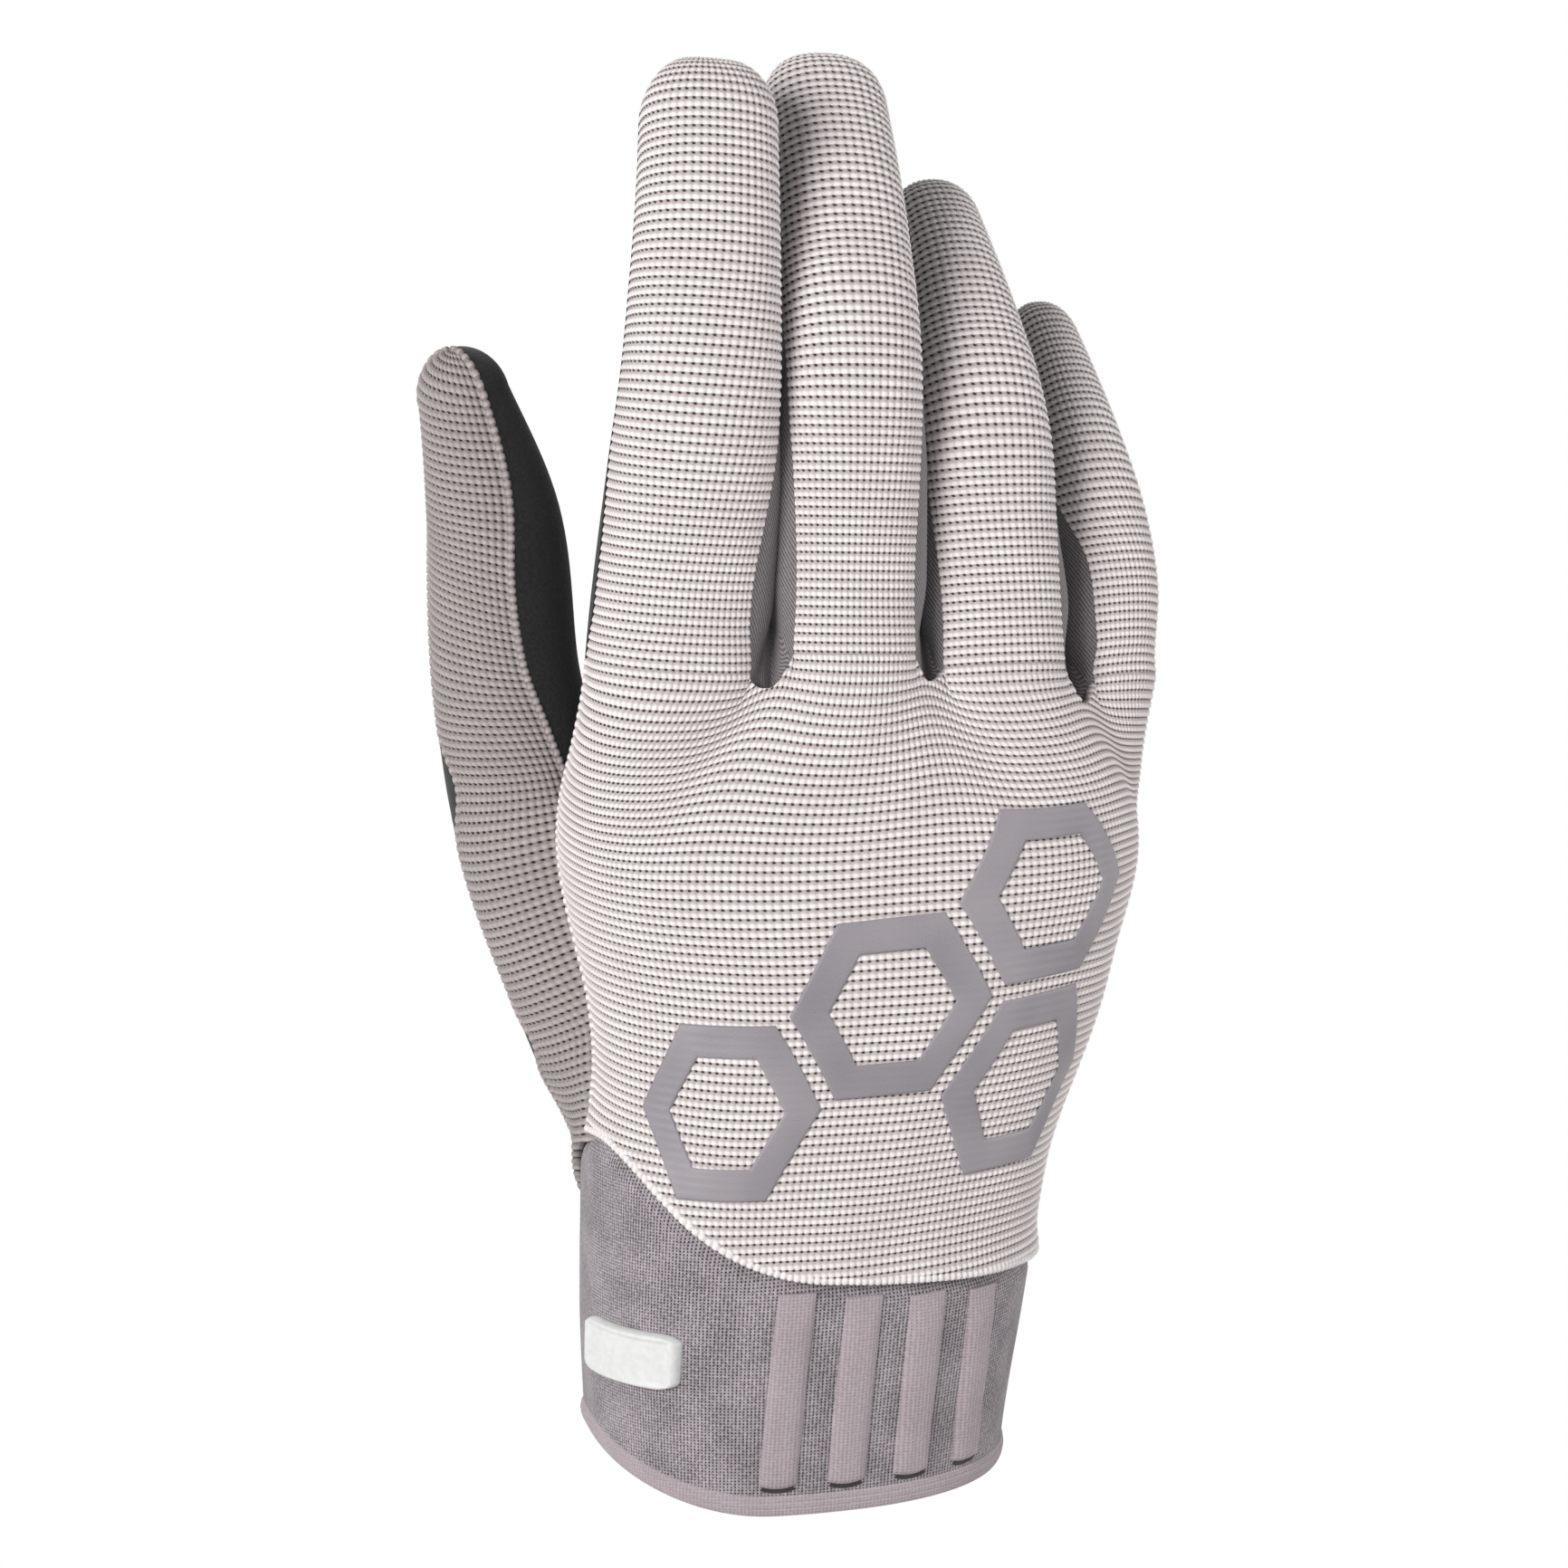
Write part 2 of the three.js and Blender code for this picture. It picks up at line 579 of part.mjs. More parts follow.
function thumbPanel(places, wall, isBack) {
  const surface = (inset) => (u, place) => {
    const [left, right] = thumbSeams(place);
    const [from, to] = isBack ? [left, right] : [right, left + FULL_TURN];
    const gap = SEAM_GAP / 2 / smoothValue(THUMB_HALF_WIDTH, THUMB_HALF_WIDTH.length - 1);
    return thumbPoint(place, lerp(from + gap, to - gap, u), inset, isBack ? 1 : -1);
  };
  return panel(surface(0), surface(wall), steps(0, 1, THUMB_ARC_STEPS), places);
}

// The whole thumb swings forward from the palm: its bend line lies where the root reaches furthest that way
function thumbSwing() {
  const { along } = thumbFrame(THUMB_KNUCKLE * (1 - THUMB_CAP / thumbLength));
  const forward = new THREE.Vector3(0, 1, 0).projectOnPlane(along).normalize();
  const back = forward.clone().negate();
  const side = new THREE.Vector3().crossVectors(along, back);
  const round = steps(0, FULL_TURN, THUMB_EDGE_STEPS).map((angle) => thumbPoint(THUMB_KNUCKLE, angle, 0));
  const furthest = round.reduce((best, p) => (p.dot(forward) > best.dot(forward) ? p : best));
  return [{ along, side, back }, furthest];
}

// The filled thumb root with a clearance round it, for cutting the hand
function thumbSolid() {
  const turn = steps(0, FULL_TURN, 2 * THUMB_ARC_STEPS).slice(0, -1);
  const rings = steps(0, THUMB_KNUCKLE, THUMB_ROWS).map((place) =>
    turn.map((angle) => thumbPoint(place, angle, -THUMB_SEAM_GAP)),
  );
  return ringSolid(rings);
}

// Cuff

// The hem dips to the table on the back and the palm, and lifts off it at both sides
function hemLift(angle) {
  const lift = (middle, height, spread) => {
    const away = Math.abs(THREE.MathUtils.radToDeg(angle) - middle);
    return height * (1 - smoothstep(Math.min(away, 360 - away), 0, spread));
  };
  return lift(-90, HEM_THUMB_LIFT, HEM_THUMB_SPREAD) + lift(90, HEM_OUTER_LIFT, HEM_OUTER_SPREAD);
}

function cuffSleeve() {
  const surface = (inset) => (angle, v) => {
    const low = hemLift(angle) + HEM_HEIGHT + SEAM_GAP;
    return handPoint(angle, lerp(low, cuffSeamHeight(angle) - CUFF_SEAM_GAP / 2, v), inset);
  };
  return sleeve(surface(0), surface(CUFF_WALL), handAngles, steps(0, 1, CUFF_ROWS));
}

function hemSleeve() {
  const surface = (inset) => (angle, v) => {
    const bulge = HEM_PROUD * (1 - Math.abs(2 * v - 1));
    return handPoint(angle, hemLift(angle) + HEM_HEIGHT * v, inset ? inset : -bulge);
  };
  return sleeve(surface(0), surface(CUFF_WALL), handAngles, steps(0, 1, 2));
}

// Half the width of the cuff at a height, which turns arc lengths round it into angles
function girth(z) {
  const [left, right] = [handPoint(-Math.PI / 2, z, 0), handPoint(Math.PI / 2, z, 0)];
  return (right.x - left.x) / 2;
}

// A raised patch lying on the cuff: arc lengths from the middle of the back, heights from the hem plane
function cuffPatch(centreAt, width, foot, height, thickness, columns, rows) {
  const surface = (lift) => (u, v) => {
    const z = foot + height * v;
    const across = centreAt(v) + width * (u - 0.5);
    return handPoint(across / girth(z), z, -lift);
  };
  return panel(surface(SEAM_GAP + thickness), surface(SEAM_GAP), steps(0, 1, columns), steps(0, 1, rows));
}

// Assembly

const glove = new THREE.Group();
glove.name = "glove";

// A mesh in the glove's frame, kept in place when it is hung on a moving group
function addPanel(parent, name, geometry, material) {
  const mesh = new THREE.Mesh(geometry, material);
  mesh.name = name;
  parent.attach(mesh);
}

// A group whose X axis is a bend line on the palm side of the cloth, so the back opens as it bends
function bendGroup(parent, name, frame, palmSide) {
  const group = new THREE.Group();
  group.name = name;
  const line = frame.side.clone().negate();
  const across = new THREE.Vector3().crossVectors(line, frame.along);
  group.setRotationFromMatrix(new THREE.Matrix4().makeBasis(line, frame.along, across));
  group.position.copy(palmSide);
  glove.add(group);
  glove.updateMatrixWorld(true);
  parent.attach(group);
  return group;
}

function addFinger(finger) {
  const split = fingerPlace(finger, finger.midKnuckle);
  const gap = fingerPlace(finger, SEAM_GAP / 2);
  const low = steps(gap, split - gap, FINGER_ROWS);
  const high = tipPlaces(split + gap);
  const sideHigh = stripPlaces(split + gap);
  const knuckle = bendGroup(
    glove, `${finger.name}_knuckle`, fingerFrame(finger, 0), fingerPoint(finger, 0, Math.PI, 0),
  );
  const mid = bendGroup(
    knuckle, `${finger.name}_mid_knuckle`, fingerFrame(finger, finger.midKnuckle),
    fingerPoint(finger, split, Math.PI, 0),
  );
  const sets = [[knuckle, "base", low, low], [mid, "tip", high, sideHigh]];
  for (const [group, part, places, sidePlaces] of sets) {
    const back = fingerPanel(finger, places, KNIT_WALL, backEdges, FINGER_ARC_STEPS, 1);
    const palm = fingerPanel(finger, places, SUEDE_WALL, palmEdges, FINGER_ARC_STEPS, -1);
    addPanel(group, `${finger.name}_back_${part}`, back, KNIT_BACK);
    addPanel(group, `${finger.name}_palm_${part}`, palm, SUEDE_PALM);
    if (!leftMost(finger)) {
      const strip = fingerPanel(finger, sidePlaces, STRETCH_WALL, leftEdges, SIDE_STEPS, 0);
      addPanel(group, `${finger.name}_thumbward_side_${part}`, strip, STRETCH_SIDE);
    }
    if (!rightMost(finger)) {
      const strip = fingerPanel(finger, sidePlaces, STRETCH_WALL, rightEdges, SIDE_STEPS, 0);
      addPanel(group, `${finger.name}_outward_side_${part}`, strip, STRETCH_SIDE);
    }
  }
}

function addHand() {
  const thumbHole = thumbSolid();
  addPanel(glove, "hand_back", cutAway(handPanel(web.back, KNIT_WALL), thumbHole), KNIT_BACK);
  addPanel(glove, "palm", cutAway(handPanel(web.palm, SUEDE_WALL), thumbHole), SUEDE_PALM);
  for (let k = 0; k + 1 < FINGERS.length; k += 1) {
    const name = `${FINGERS[k].name}_${FINGERS[k + 1].name}_crotch`;
    addPanel(glove, name, crotchPanel(FINGERS[k], FINGERS[k + 1]), STRETCH_SIDE);
  }
}

function addThumb() {
  const gap = SEAM_GAP / 2 / thumbLength;
  const cuts = [handSolid(), belowCuffSeam()];
  const knuckle = bendGroup(glove, "thumb_knuckle", ...thumbSwing());
  const end = bendGroup(
    knuckle, "thumb_end_knuckle", thumbFrame(THUMB_END_KNUCKLE * (1 - THUMB_CAP / thumbLength)),
    thumbPoint(THUMB_END_KNUCKLE, Math.PI, 0),
  );
  const root = steps(0, THUMB_KNUCKLE - gap, THUMB_ROWS);
  const base = steps(THUMB_KNUCKLE + gap, THUMB_END_KNUCKLE - gap, FINGER_ROWS);
  const tip = [...steps(THUMB_END_KNUCKLE + gap, 1, TIP_ROWS), ...steps(1, 2, CAP_ROWS).slice(1)];
  for (const [isBack, word, wall, material] of [
    [true, "back", KNIT_WALL, KNIT_BACK], [false, "palm", SUEDE_WALL, SUEDE_PALM],
  ]) {
    addPanel(glove, `thumb_${word}_root`, cutAway(thumbPanel(root, wall, isBack), ...cuts), material);
    addPanel(knuckle, `thumb_${word}_base`, thumbPanel(base, wall, isBack), material);
    addPanel(end, `thumb_${word}_tip`, thumbPanel(tip, wall, isBack), material);
  }
}

function addCuff() {
  addPanel(glove, "cuff", cuffSleeve(), CUFF_CLOTH);
  addPanel(glove, "cuff_hem", hemSleeve(), CUFF_CLOTH);
  for (let k = 0; k < STRIP_COUNT; k += 1) {
    const middle = STRIP_FIRST + STRIP_PITCH * k;
    const seam = cuffSeamHeight(middle / girth(CUFF_SEAM_HEIGHT));
    const length = seam - STRIP_TOP_GAP - STRIP_FOOT;
    const centreAt = (v) => middle + STRIP_SLANT * length * v;
    const strip = cuffPatch(centreAt, STRIP_WIDTH, STRIP_FOOT, length, STRIP_THICKNESS, 2, CUFF_ROWS);
    addPanel(glove, `cuff_strip_${k + 1}`, strip, CUFF_STRIP);
  }
  const tab = cuffPatch(() => TAB_CENTRE, TAB_WIDTH, TAB_FOOT, TAB_HEIGHT, TAB_THICKNESS, TAB_STEPS, 2);
  addPanel(glove, "cuff_tab", tab, RUBBER_TAB);
}

addHand();
FINGERS.forEach(addFinger);
addThumb();
addCuff();

// Origin under the middle of the whole glove, on the plane that the hem stands on
const box = new THREE.Box3().setFromObject(glove);
glove.position.set(-(box.min.x + box.max.x) / 2, -(box.min.y + box.max.y) / 2, -box.min.z);
glove.updateMatrixWorld(true);

export default glove;
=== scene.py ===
import math
import bmesh
import bpy
import numpy as np
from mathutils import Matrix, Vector


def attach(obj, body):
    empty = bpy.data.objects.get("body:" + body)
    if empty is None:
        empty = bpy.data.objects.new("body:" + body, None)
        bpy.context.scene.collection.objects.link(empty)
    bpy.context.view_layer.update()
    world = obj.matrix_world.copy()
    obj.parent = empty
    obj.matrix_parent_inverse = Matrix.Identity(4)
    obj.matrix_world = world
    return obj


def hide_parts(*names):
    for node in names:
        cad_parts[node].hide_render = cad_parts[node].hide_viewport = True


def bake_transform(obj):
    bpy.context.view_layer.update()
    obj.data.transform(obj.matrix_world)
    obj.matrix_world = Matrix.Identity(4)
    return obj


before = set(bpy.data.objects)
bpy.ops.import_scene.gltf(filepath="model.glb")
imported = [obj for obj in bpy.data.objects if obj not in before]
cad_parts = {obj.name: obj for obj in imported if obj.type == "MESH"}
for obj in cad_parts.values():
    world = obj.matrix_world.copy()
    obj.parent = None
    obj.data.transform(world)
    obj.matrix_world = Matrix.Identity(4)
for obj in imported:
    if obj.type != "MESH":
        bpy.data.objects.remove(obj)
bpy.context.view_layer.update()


# Cuff sleeve
# A soft tube of fine grey jersey over thin foam, which grips the wrist.
# Its top edge is sewn under the knit of the hand along a seam that climbs to the thumb.

# All shapes are worked out in millimetres round the middle of the wrist, then moved to the frame
WRIST_IN_FRAME = np.array([-3.213, -11.695, 0.0])
FULL_TURN = 2 * math.pi

# Edges of the filled hand at even heights, from the hem to the web of the fingers
WEB_HEIGHT = 130.0
HAND_LEFT = [-34, -34.8, -34.2, -34, -37, -30.6]
HAND_RIGHT = [33, 36.8, 41.7, 51.5, 59.1, 62.2]
HAND_BACK = [-24, -24, -23, -20, -14.5, -10.3]
HAND_PALM = [24, 24, 25, 25, 21, 13.3]
HAND_SQUARENESS = 2.3

CUFF_WALL = 2.2
CUFF_SEAM_HEIGHT = 36.5
CUFF_SEAM_RISE = 21.0
CUFF_SEAM_FALL = 3.0
CUFF_SEAM_SWEEP = 4.2
CUFF_SEAM_PEAK = math.radians(-74)
CUFF_SEAM_SHOULDER = math.radians(6)
CUFF_TUCK = 1.5
CUFF_TUCK_DEPTH = 4.0
CUFF_UNDER_KNIT = 1.6
CUFF_IN_HEM = 0.6
CUFF_RADIUS = 36.0
CUFF_COLUMNS = 220
CUFF_ROWS = 60
HEM_HEIGHT = 3.4
HEM_THUMB_LIFT = 8.5
HEM_THUMB_SPREAD = math.radians(74)
HEM_OUTER_LIFT = 0.3
HEM_OUTER_SPREAD = math.radians(46)
WELD_DISTANCE = 2e-6
CRISP_ANGLE = math.radians(50)
CLOTH_SPECULAR = 0.2
CLOTH_SHEEN_ROUGHNESS = 0.6


def smooth_step(x, low, high):
    t = np.clip((x - low) / (high - low), 0, 1)
    return t * t * (3 - 2 * t)


def curve_between(p1, p2, slope1, slope2, t):
    """A smooth curve from p1 to p2, with its slope at each end."""
    cubic = 2 * p1 - 2 * p2 + slope1 + slope2
    square = -3 * p1 + 3 * p2 - 2 * slope1 - slope2
    return ((cubic * t + square) * t + slope1) * t + p1


def smooth_value(values, place):
    """Values at even steps, joined by a smooth curve."""
    values = np.asarray(values, float)
    last = len(values) - 1
    start = np.clip(np.floor(place), 0, last - 1).astype(int)
    p0, p1, p2, p3 = (values[np.clip(start + k, 0, last)] for k in (-1, 0, 1, 2))
    return curve_between(p1, p2, (p2 - p0) / 2, (p3 - p1) / 2, place - start)


def rounded_unit(angle, squareness):
    """A point of a rounded section of half size 1, at an angle from the back."""
    s, c = np.sin(angle), np.cos(angle)
    r = (np.abs(s) ** squareness + np.abs(c) ** squareness) ** (-1 / squareness)
    return r * s, r * c


def hand_section(z, inset):
    """The filled hand at a height, drawn in by an inset: its middle, then half its width and depth."""
    place = np.asarray(z, float) / WEB_HEIGHT * (len(HAND_LEFT) - 1)
    left = smooth_value(HAND_LEFT, place) + inset
    right = smooth_value(HAND_RIGHT, place) - inset
    back = smooth_value(HAND_BACK, place) + inset
    palm = smooth_value(HAND_PALM, place) - inset
    return (left + right) / 2, (back + palm) / 2, (right - left) / 2, (palm - back) / 2


def hand_point(angle, z, inset):
    """A point of the filled hand, without knuckles, at an angle from the back and a height."""
    middle_x, middle_y, half_x, half_y = hand_section(z, inset)
    x, y = rounded_unit(angle, HAND_SQUARENESS)
    return np.stack(np.broadcast_arrays(middle_x + x * half_x, middle_y - y * half_y, z), -1).astype(float)


def hand_angle(points):
    """The angle from the back at which points lie round the hand."""
    middle_x, middle_y, half_x, half_y = hand_section(points[..., 2], 0)
    return np.arctan2((points[..., 0] - middle_x) / half_x, (middle_y - points[..., 1]) / half_y)


def cuff_seam(angle):
    """The height of the seam between cuff and hand, highest near the thumb."""
    from_peak = angle - CUFF_SEAM_PEAK
    shoulder = np.where(from_peak < 0, np.minimum(from_peak + CUFF_SEAM_SHOULDER, 0), from_peak)
    thumbward = np.maximum(0, np.cos(shoulder))
    outward = np.maximum(0, np.sin(angle))
    return CUFF_SEAM_HEIGHT + CUFF_SEAM_RISE * thumbward**CUFF_SEAM_SWEEP - CUFF_SEAM_FALL * outward


def hem_lift(angle):
    """The hem dips to the table on the back and the palm, and lifts off it at both sides."""
    def side(middle, height, spread):
        away = np.abs((angle - middle + math.pi) % FULL_TURN - math.pi)
        return height * (1 - smooth_step(away, 0, spread))
    thumb = side(-math.pi / 2, HEM_THUMB_LIFT, HEM_THUMB_SPREAD)
    return thumb + side(math.pi / 2, HEM_OUTER_LIFT, HEM_OUTER_SPREAD)


def quads(rows, columns, offset=0, flip=False, ring=False):
    """Faces of a grid of points; ring joins the last column to the first."""
    across = columns if ring else columns - 1
    row, column = np.meshgrid(np.arange(rows - 1), np.arange(across), indexing="ij")
    following = (column + 1) % columns
    a = offset + row * columns + column
    b = offset + row * columns + following
    faces = np.stack([a, b, b + columns, a + columns], -1).reshape(-1, 4)
    return faces[:, ::-1] if flip else faces


def merge(*parts):
    """Several mesh parts as one: a part is points, faces, and each point's place on the flat cloth."""
    starts = np.cumsum([0] + [len(points) for points, _, _ in parts])
    faces = [face + start for (_, part_faces, _), start in zip(parts, starts) for face in part_faces]
    return np.concatenate([p for p, _, _ in parts]), faces, np.concatenate([flat for _, _, flat in parts])


def in_frame(points):
    """Points of the build, in millimetres round the wrist, as metres in the frame."""
    return (points + WRIST_IN_FRAME) / 1000


def make_piece(name, part, material, weld=False, crisp=False):
    """A mesh piece in the frame from a mesh part in millimetres; crisp keeps its cut edges sharp."""
    points, faces, flat = part
    mesh = bpy.data.meshes.new(name)
    totals = np.concatenate([np.full(len(f), f.shape[1]) for f in faces])
    corners = np.concatenate([f.ravel() for f in faces]).astype(np.int32)
    mesh.vertices.add(len(points))
    mesh.vertices.foreach_set("co", in_frame(points).astype(np.float32).ravel())
    mesh.loops.add(len(corners))
    mesh.loops.foreach_set("vertex_index", corners)
    mesh.polygons.add(len(totals))
    mesh.polygons.foreach_set("loop_start", np.concatenate([[0], np.cumsum(totals)[:-1]]).astype(np.int32))
    layer = mesh.uv_layers.new(name="cloth")
    layer.data.foreach_set("uv", flat[corners].astype(np.float32).ravel())
    mesh.update(calc_edges=True)
    if weld:
        work = bmesh.new()
        work.from_mesh(mesh)
        bmesh.ops.remove_doubles(work, verts=work.verts, dist=WELD_DISTANCE)
        work.to_mesh(mesh)
        work.free()
    mesh.validate()
    mesh.shade_smooth()
    if crisp:
        mesh.set_sharp_from_angle(angle=CRISP_ANGLE)
    mesh.materials.append(material)
    piece = bpy.data.objects.new(name, mesh)
    bpy.context.scene.collection.objects.link(piece)
    return piece


def sleeve(outer, inner, flat):
    """A closed tube wall from an outer and an inner grid, each going once round."""
    rows, columns = outer.shape[:2]
    layer = rows * columns
    k = np.arange(columns)
    following = (k + 1) % columns
    top = (rows - 1) * columns
    foot = np.stack([following, k, layer + k, layer + following], -1)
    head = np.stack([top + k, top + following, layer + top + following, layer + top + k], -1)
    faces = [
        quads(rows, columns, ring=True),
        quads(rows, columns, layer, flip=True, ring=True),
        foot,
        head,
    ]
    points = np.concatenate([outer.reshape(-1, 3), inner.reshape(-1, 3)])
    return points, faces, np.concatenate([flat, flat]).reshape(-1, 2)


class Shade:
    """A shader value: sums with it add Math nodes, and node() adds any other node."""

    def __init__(self, tree, socket):
        self.tree = tree
        self.socket = socket

    def node(self, kind, settings, inputs, output=0):
        made = self.tree.nodes.new(kind)
        for key, value in settings.items():
            setattr(made, key, value)
        for key, value in inputs.items():
            if isinstance(value, Shade):
                self.tree.links.new(value.socket, made.inputs[key])
            else:
                made.inputs[key].default_value = value
        return Shade(self.tree, made.outputs[output])

    def math(self, operation, *values):
        return self.node("ShaderNodeMath", {"operation": operation}, dict(enumerate(values)))

    def __add__(self, other):
        return self.math("ADD", self, other)

    __radd__ = __add__

    def __sub__(self, other):
        return self.math("SUBTRACT", self, other)

    def __rsub__(self, other):
        return self.math("SUBTRACT", other, self)

    def __mul__(self, other):
        return self.math("MULTIPLY", self, other)

    __rmul__ = __mul__

    def wave(self):
        """0 on whole numbers, rising to 1 half way between them."""
        return self.math("PINGPONG", self, 0.5) * 2

    def rise(self, low, high):
        """0 below low, 1 above high, smooth between."""
        ranges = {"From Min": low, "From Max": high}
        settings = {"interpolation_type": "SMOOTHSTEP"}
        return self.node("ShaderNodeMapRange", settings, {"Value": self, **ranges})

    def band(self, rise_start, rise_end, fall_start, fall_end):
        """0, then 1 from the end of the rise to the start of the fall, then 0."""
        return self.rise(rise_start, rise_end) * (1 - self.rise(fall_start, fall_end))

    def noise(self, place, scale, detail, dimensions="2D"):
        """Cloudy noise about 0.5, at places on the flat cloth or, in 3D, in space."""
        inputs = {"Vector": place, "Scale": scale, "Detail": detail}
        return self.node("ShaderNodeTexNoise", {"noise_dimensions": dimensions}, inputs)

    def tint(self, low, high):
        """A colour that goes from low to high as the value goes from 0 to 1."""
        settings = {"data_type": "RGBA", "clamp_factor": True}
        return self.node("ShaderNodeMix", settings, {"Factor": self, 6: low, 7: high}, output=2)


def colour(red, green, blue):
    """A colour as it looks on a screen, from 0 to 255, as the light it gives back."""
    parts = [c / 255 for c in (red, green, blue)]
    return [c / 12.92 if c < 0.04045 else ((c + 0.055) / 1.055) ** 2.4 for c in parts] + [1.0]


def new_material(name):
    """A bare material: its shader and a starting value for its sums."""
    material = bpy.data.materials.new(name)
    material.use_nodes = True
    tree = material.node_tree
    shader = tree.nodes["Principled BSDF"]
    return material, shader, Shade(tree, None)


def cloth_place(start):
    """The place on the flat cloth, across it and along it."""
    flat = start.node("ShaderNodeUVMap", {"uv_map": "cloth"}, {})
    across = start.node("ShaderNodeSeparateXYZ", {}, {0: flat})
    along = Shade(start.tree, across.socket.node.outputs[1])
    return flat, across, along


def finish(shader, start, tint, height, strength, depth, roughness):
    """Gives a shader its colour, its fine relief and its roughness."""
    bump = start.node("ShaderNodeBump", {}, {"Strength": strength, "Distance": depth, "Height": height})
    start.tree.links.new(tint.socket, shader.inputs["Base Color"])
    start.tree.links.new(bump.socket, shader.inputs["Normal"])
    shader.inputs["Roughness"].default_value = roughness


def finish_cloth(shader, start, tint, height, strength, depth, roughness=0.9, sheen=0.2):
    """The same for a cloth, which is dull and has a soft sheen."""
    finish(shader, start, tint, height, strength, depth, roughness)
    shader.inputs["Specular IOR Level"].default_value = CLOTH_SPECULAR
    shader.inputs["Sheen Weight"].default_value = sheen
    shader.inputs["Sheen Roughness"].default_value = CLOTH_SHEEN_ROUGHNESS


JERSEY_LIGHT = colour(188, 179, 184)
JERSEY_DARK = colour(40, 36, 38)
JERSEY_WALE = 0.62
JERSEY_COURSE = 0.5


def jersey_material(name, light, dark, speckle):
    """Fine jersey: columns of small stitches with dark specks where the loops part."""
    material, shader, start = new_material(name)
    flat, across, along = cloth_place(start)
    drift = start.noise(flat, scale=0.12, detail=2.0)
    grain = start.noise(flat, scale=1.7, detail=3.0)
    leg = (across * (1 / JERSEY_WALE)).wave()
    loop = (along * (1 / JERSEY_COURSE) + leg * 0.5).wave()
    parting = (1 - leg.rise(0.1, 0.7)) * (1 - loop.rise(0.15, 0.9))
    mottle = grain.rise(0.35, 0.65) * 0.36 + drift.rise(0.3, 0.7) * 0.2
    tint = ((parting * 1.1 + mottle) * speckle).tint(light, dark)
    height = leg * 0.5 + loop * 0.3 + grain * 0.3
    finish_cloth(shader, start, tint, height, strength=0.6, depth=0.00025)
    return material


def cuff_girth(z):
    """Half the width of the cuff, which turns a distance across its back into an angle."""
    return hand_section(z, 0)[2]


cuff_angles = np.linspace(-math.pi, math.pi, CUFF_COLUMNS, endpoint=False)
cuff_share = np.linspace(0, 1, CUFF_ROWS)[:, None]
cuff_low = hem_lift(cuff_angles) + HEM_HEIGHT - CUFF_IN_HEM
cuff_high = cuff_seam(cuff_angles) + CUFF_UNDER_KNIT
cuff_z = cuff_low + (cuff_high - cuff_low) * cuff_share
cuff_tuck = CUFF_TUCK * smooth_step(cuff_z, cuff_high - CUFF_TUCK_DEPTH, cuff_high)
cuff_flat = np.stack(np.broadcast_arrays(cuff_angles * CUFF_RADIUS, cuff_z), -1)
cuff_material = jersey_material("cuff_jersey", JERSEY_LIGHT, JERSEY_DARK, speckle=0.9)
cuff_outer = hand_point(cuff_angles, cuff_z, cuff_tuck)
cuff_inner = hand_point(cuff_angles, cuff_z, cuff_tuck + CUFF_WALL)
cuff = make_piece("cuff_sleeve", sleeve(cuff_outer, cuff_inner, cuff_flat), cuff_material)
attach(cuff, "hand")
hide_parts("cuff")


# Cuff hem
# The jersey turned in round the mouth of the cuff, a little fuller and smoother than the sleeve.
# It is folded over and sewn down from inside.

HEM_PROUD = 0.55
HEM_ROUND = 0.6
HEM_INNER_SHARE = 0.4
HEM_ROWS = 33
HEM_LINES = (0.42, 0.72)
HEM_LINE_DEPTH = 0.16
HEM_LINE_WIDTH = 0.04


def bell(away, width):
    """1 at no distance, falling smoothly to nothing at about twice the width."""
    return np.exp(-((away / width) ** 2))


hem_turn = np.linspace(0, 1, HEM_ROWS)[:, None]
hem_bulge = HEM_PROUD * np.sin(math.pi * hem_turn) ** HEM_ROUND
for line in HEM_LINES:
    hem_bulge = hem_bulge - HEM_LINE_DEPTH * bell(hem_turn - line, HEM_LINE_WIDTH)
hem_z = hem_lift(cuff_angles) + HEM_HEIGHT * hem_turn
hem_flat = np.stack(np.broadcast_arrays(cuff_angles * CUFF_RADIUS, hem_z), -1)
hem_material = jersey_material("hem_jersey", colour(186, 174, 179), colour(126, 116, 120), speckle=0.4)
hem_outer = hand_point(cuff_angles, hem_z, -hem_bulge)
hem_inner = hand_point(cuff_angles, hem_z, CUFF_WALL + hem_bulge * HEM_INNER_SHARE)
hem = make_piece("cuff_hem_fold", sleeve(hem_outer, hem_inner, hem_flat), hem_material)
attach(hem, "hand")
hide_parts("cuff_hem")


# Raised strips on the cuff
# Slim foam pads under a smoother lighter jersey, standing up side by side on the back of the cuff.
# Their long edges run softly into the sleeve and their lower ends are open pockets, whose dark mouths are
# painted shadow: thin dark crescents.

STRIP_COUNT = 4
STRIP_WIDTH = 6.0
STRIP_PITCH = 10.8
STRIP_FOOT = 4.6
STRIP_TOP_GAP = 1.2
STRIP_FIRST = -8.5
STRIP_SLANT = 0.03
STRIP_RISE = 1.1
STRIP_PROUD = 0.12
STRIP_SINK = 0.25
STRIP_SQUARENESS = 3.5
STRIP_FOOT_ROUND = 0.6
STRIP_FOOT_END = 0.06
STRIP_FOOT_RISE = (-0.006, 0.03)
STRIP_TOP_DROP = 0.75
STRIP_TOP_FADE = (0.8, 1)
STRIP_COLUMNS = 25
STRIP_ROWS = 61
POCKET_SHADOW_WIDTH = 5.4
POCKET_SHADOW_HEIGHT = 1.3
POCKET_SHADOW_SMILE = 0.5
POCKET_SHADOW_DROP = 0.75
POCKET_SHADOW_SINK = 0.2
POCKET_SHADOW_ROWS = 7


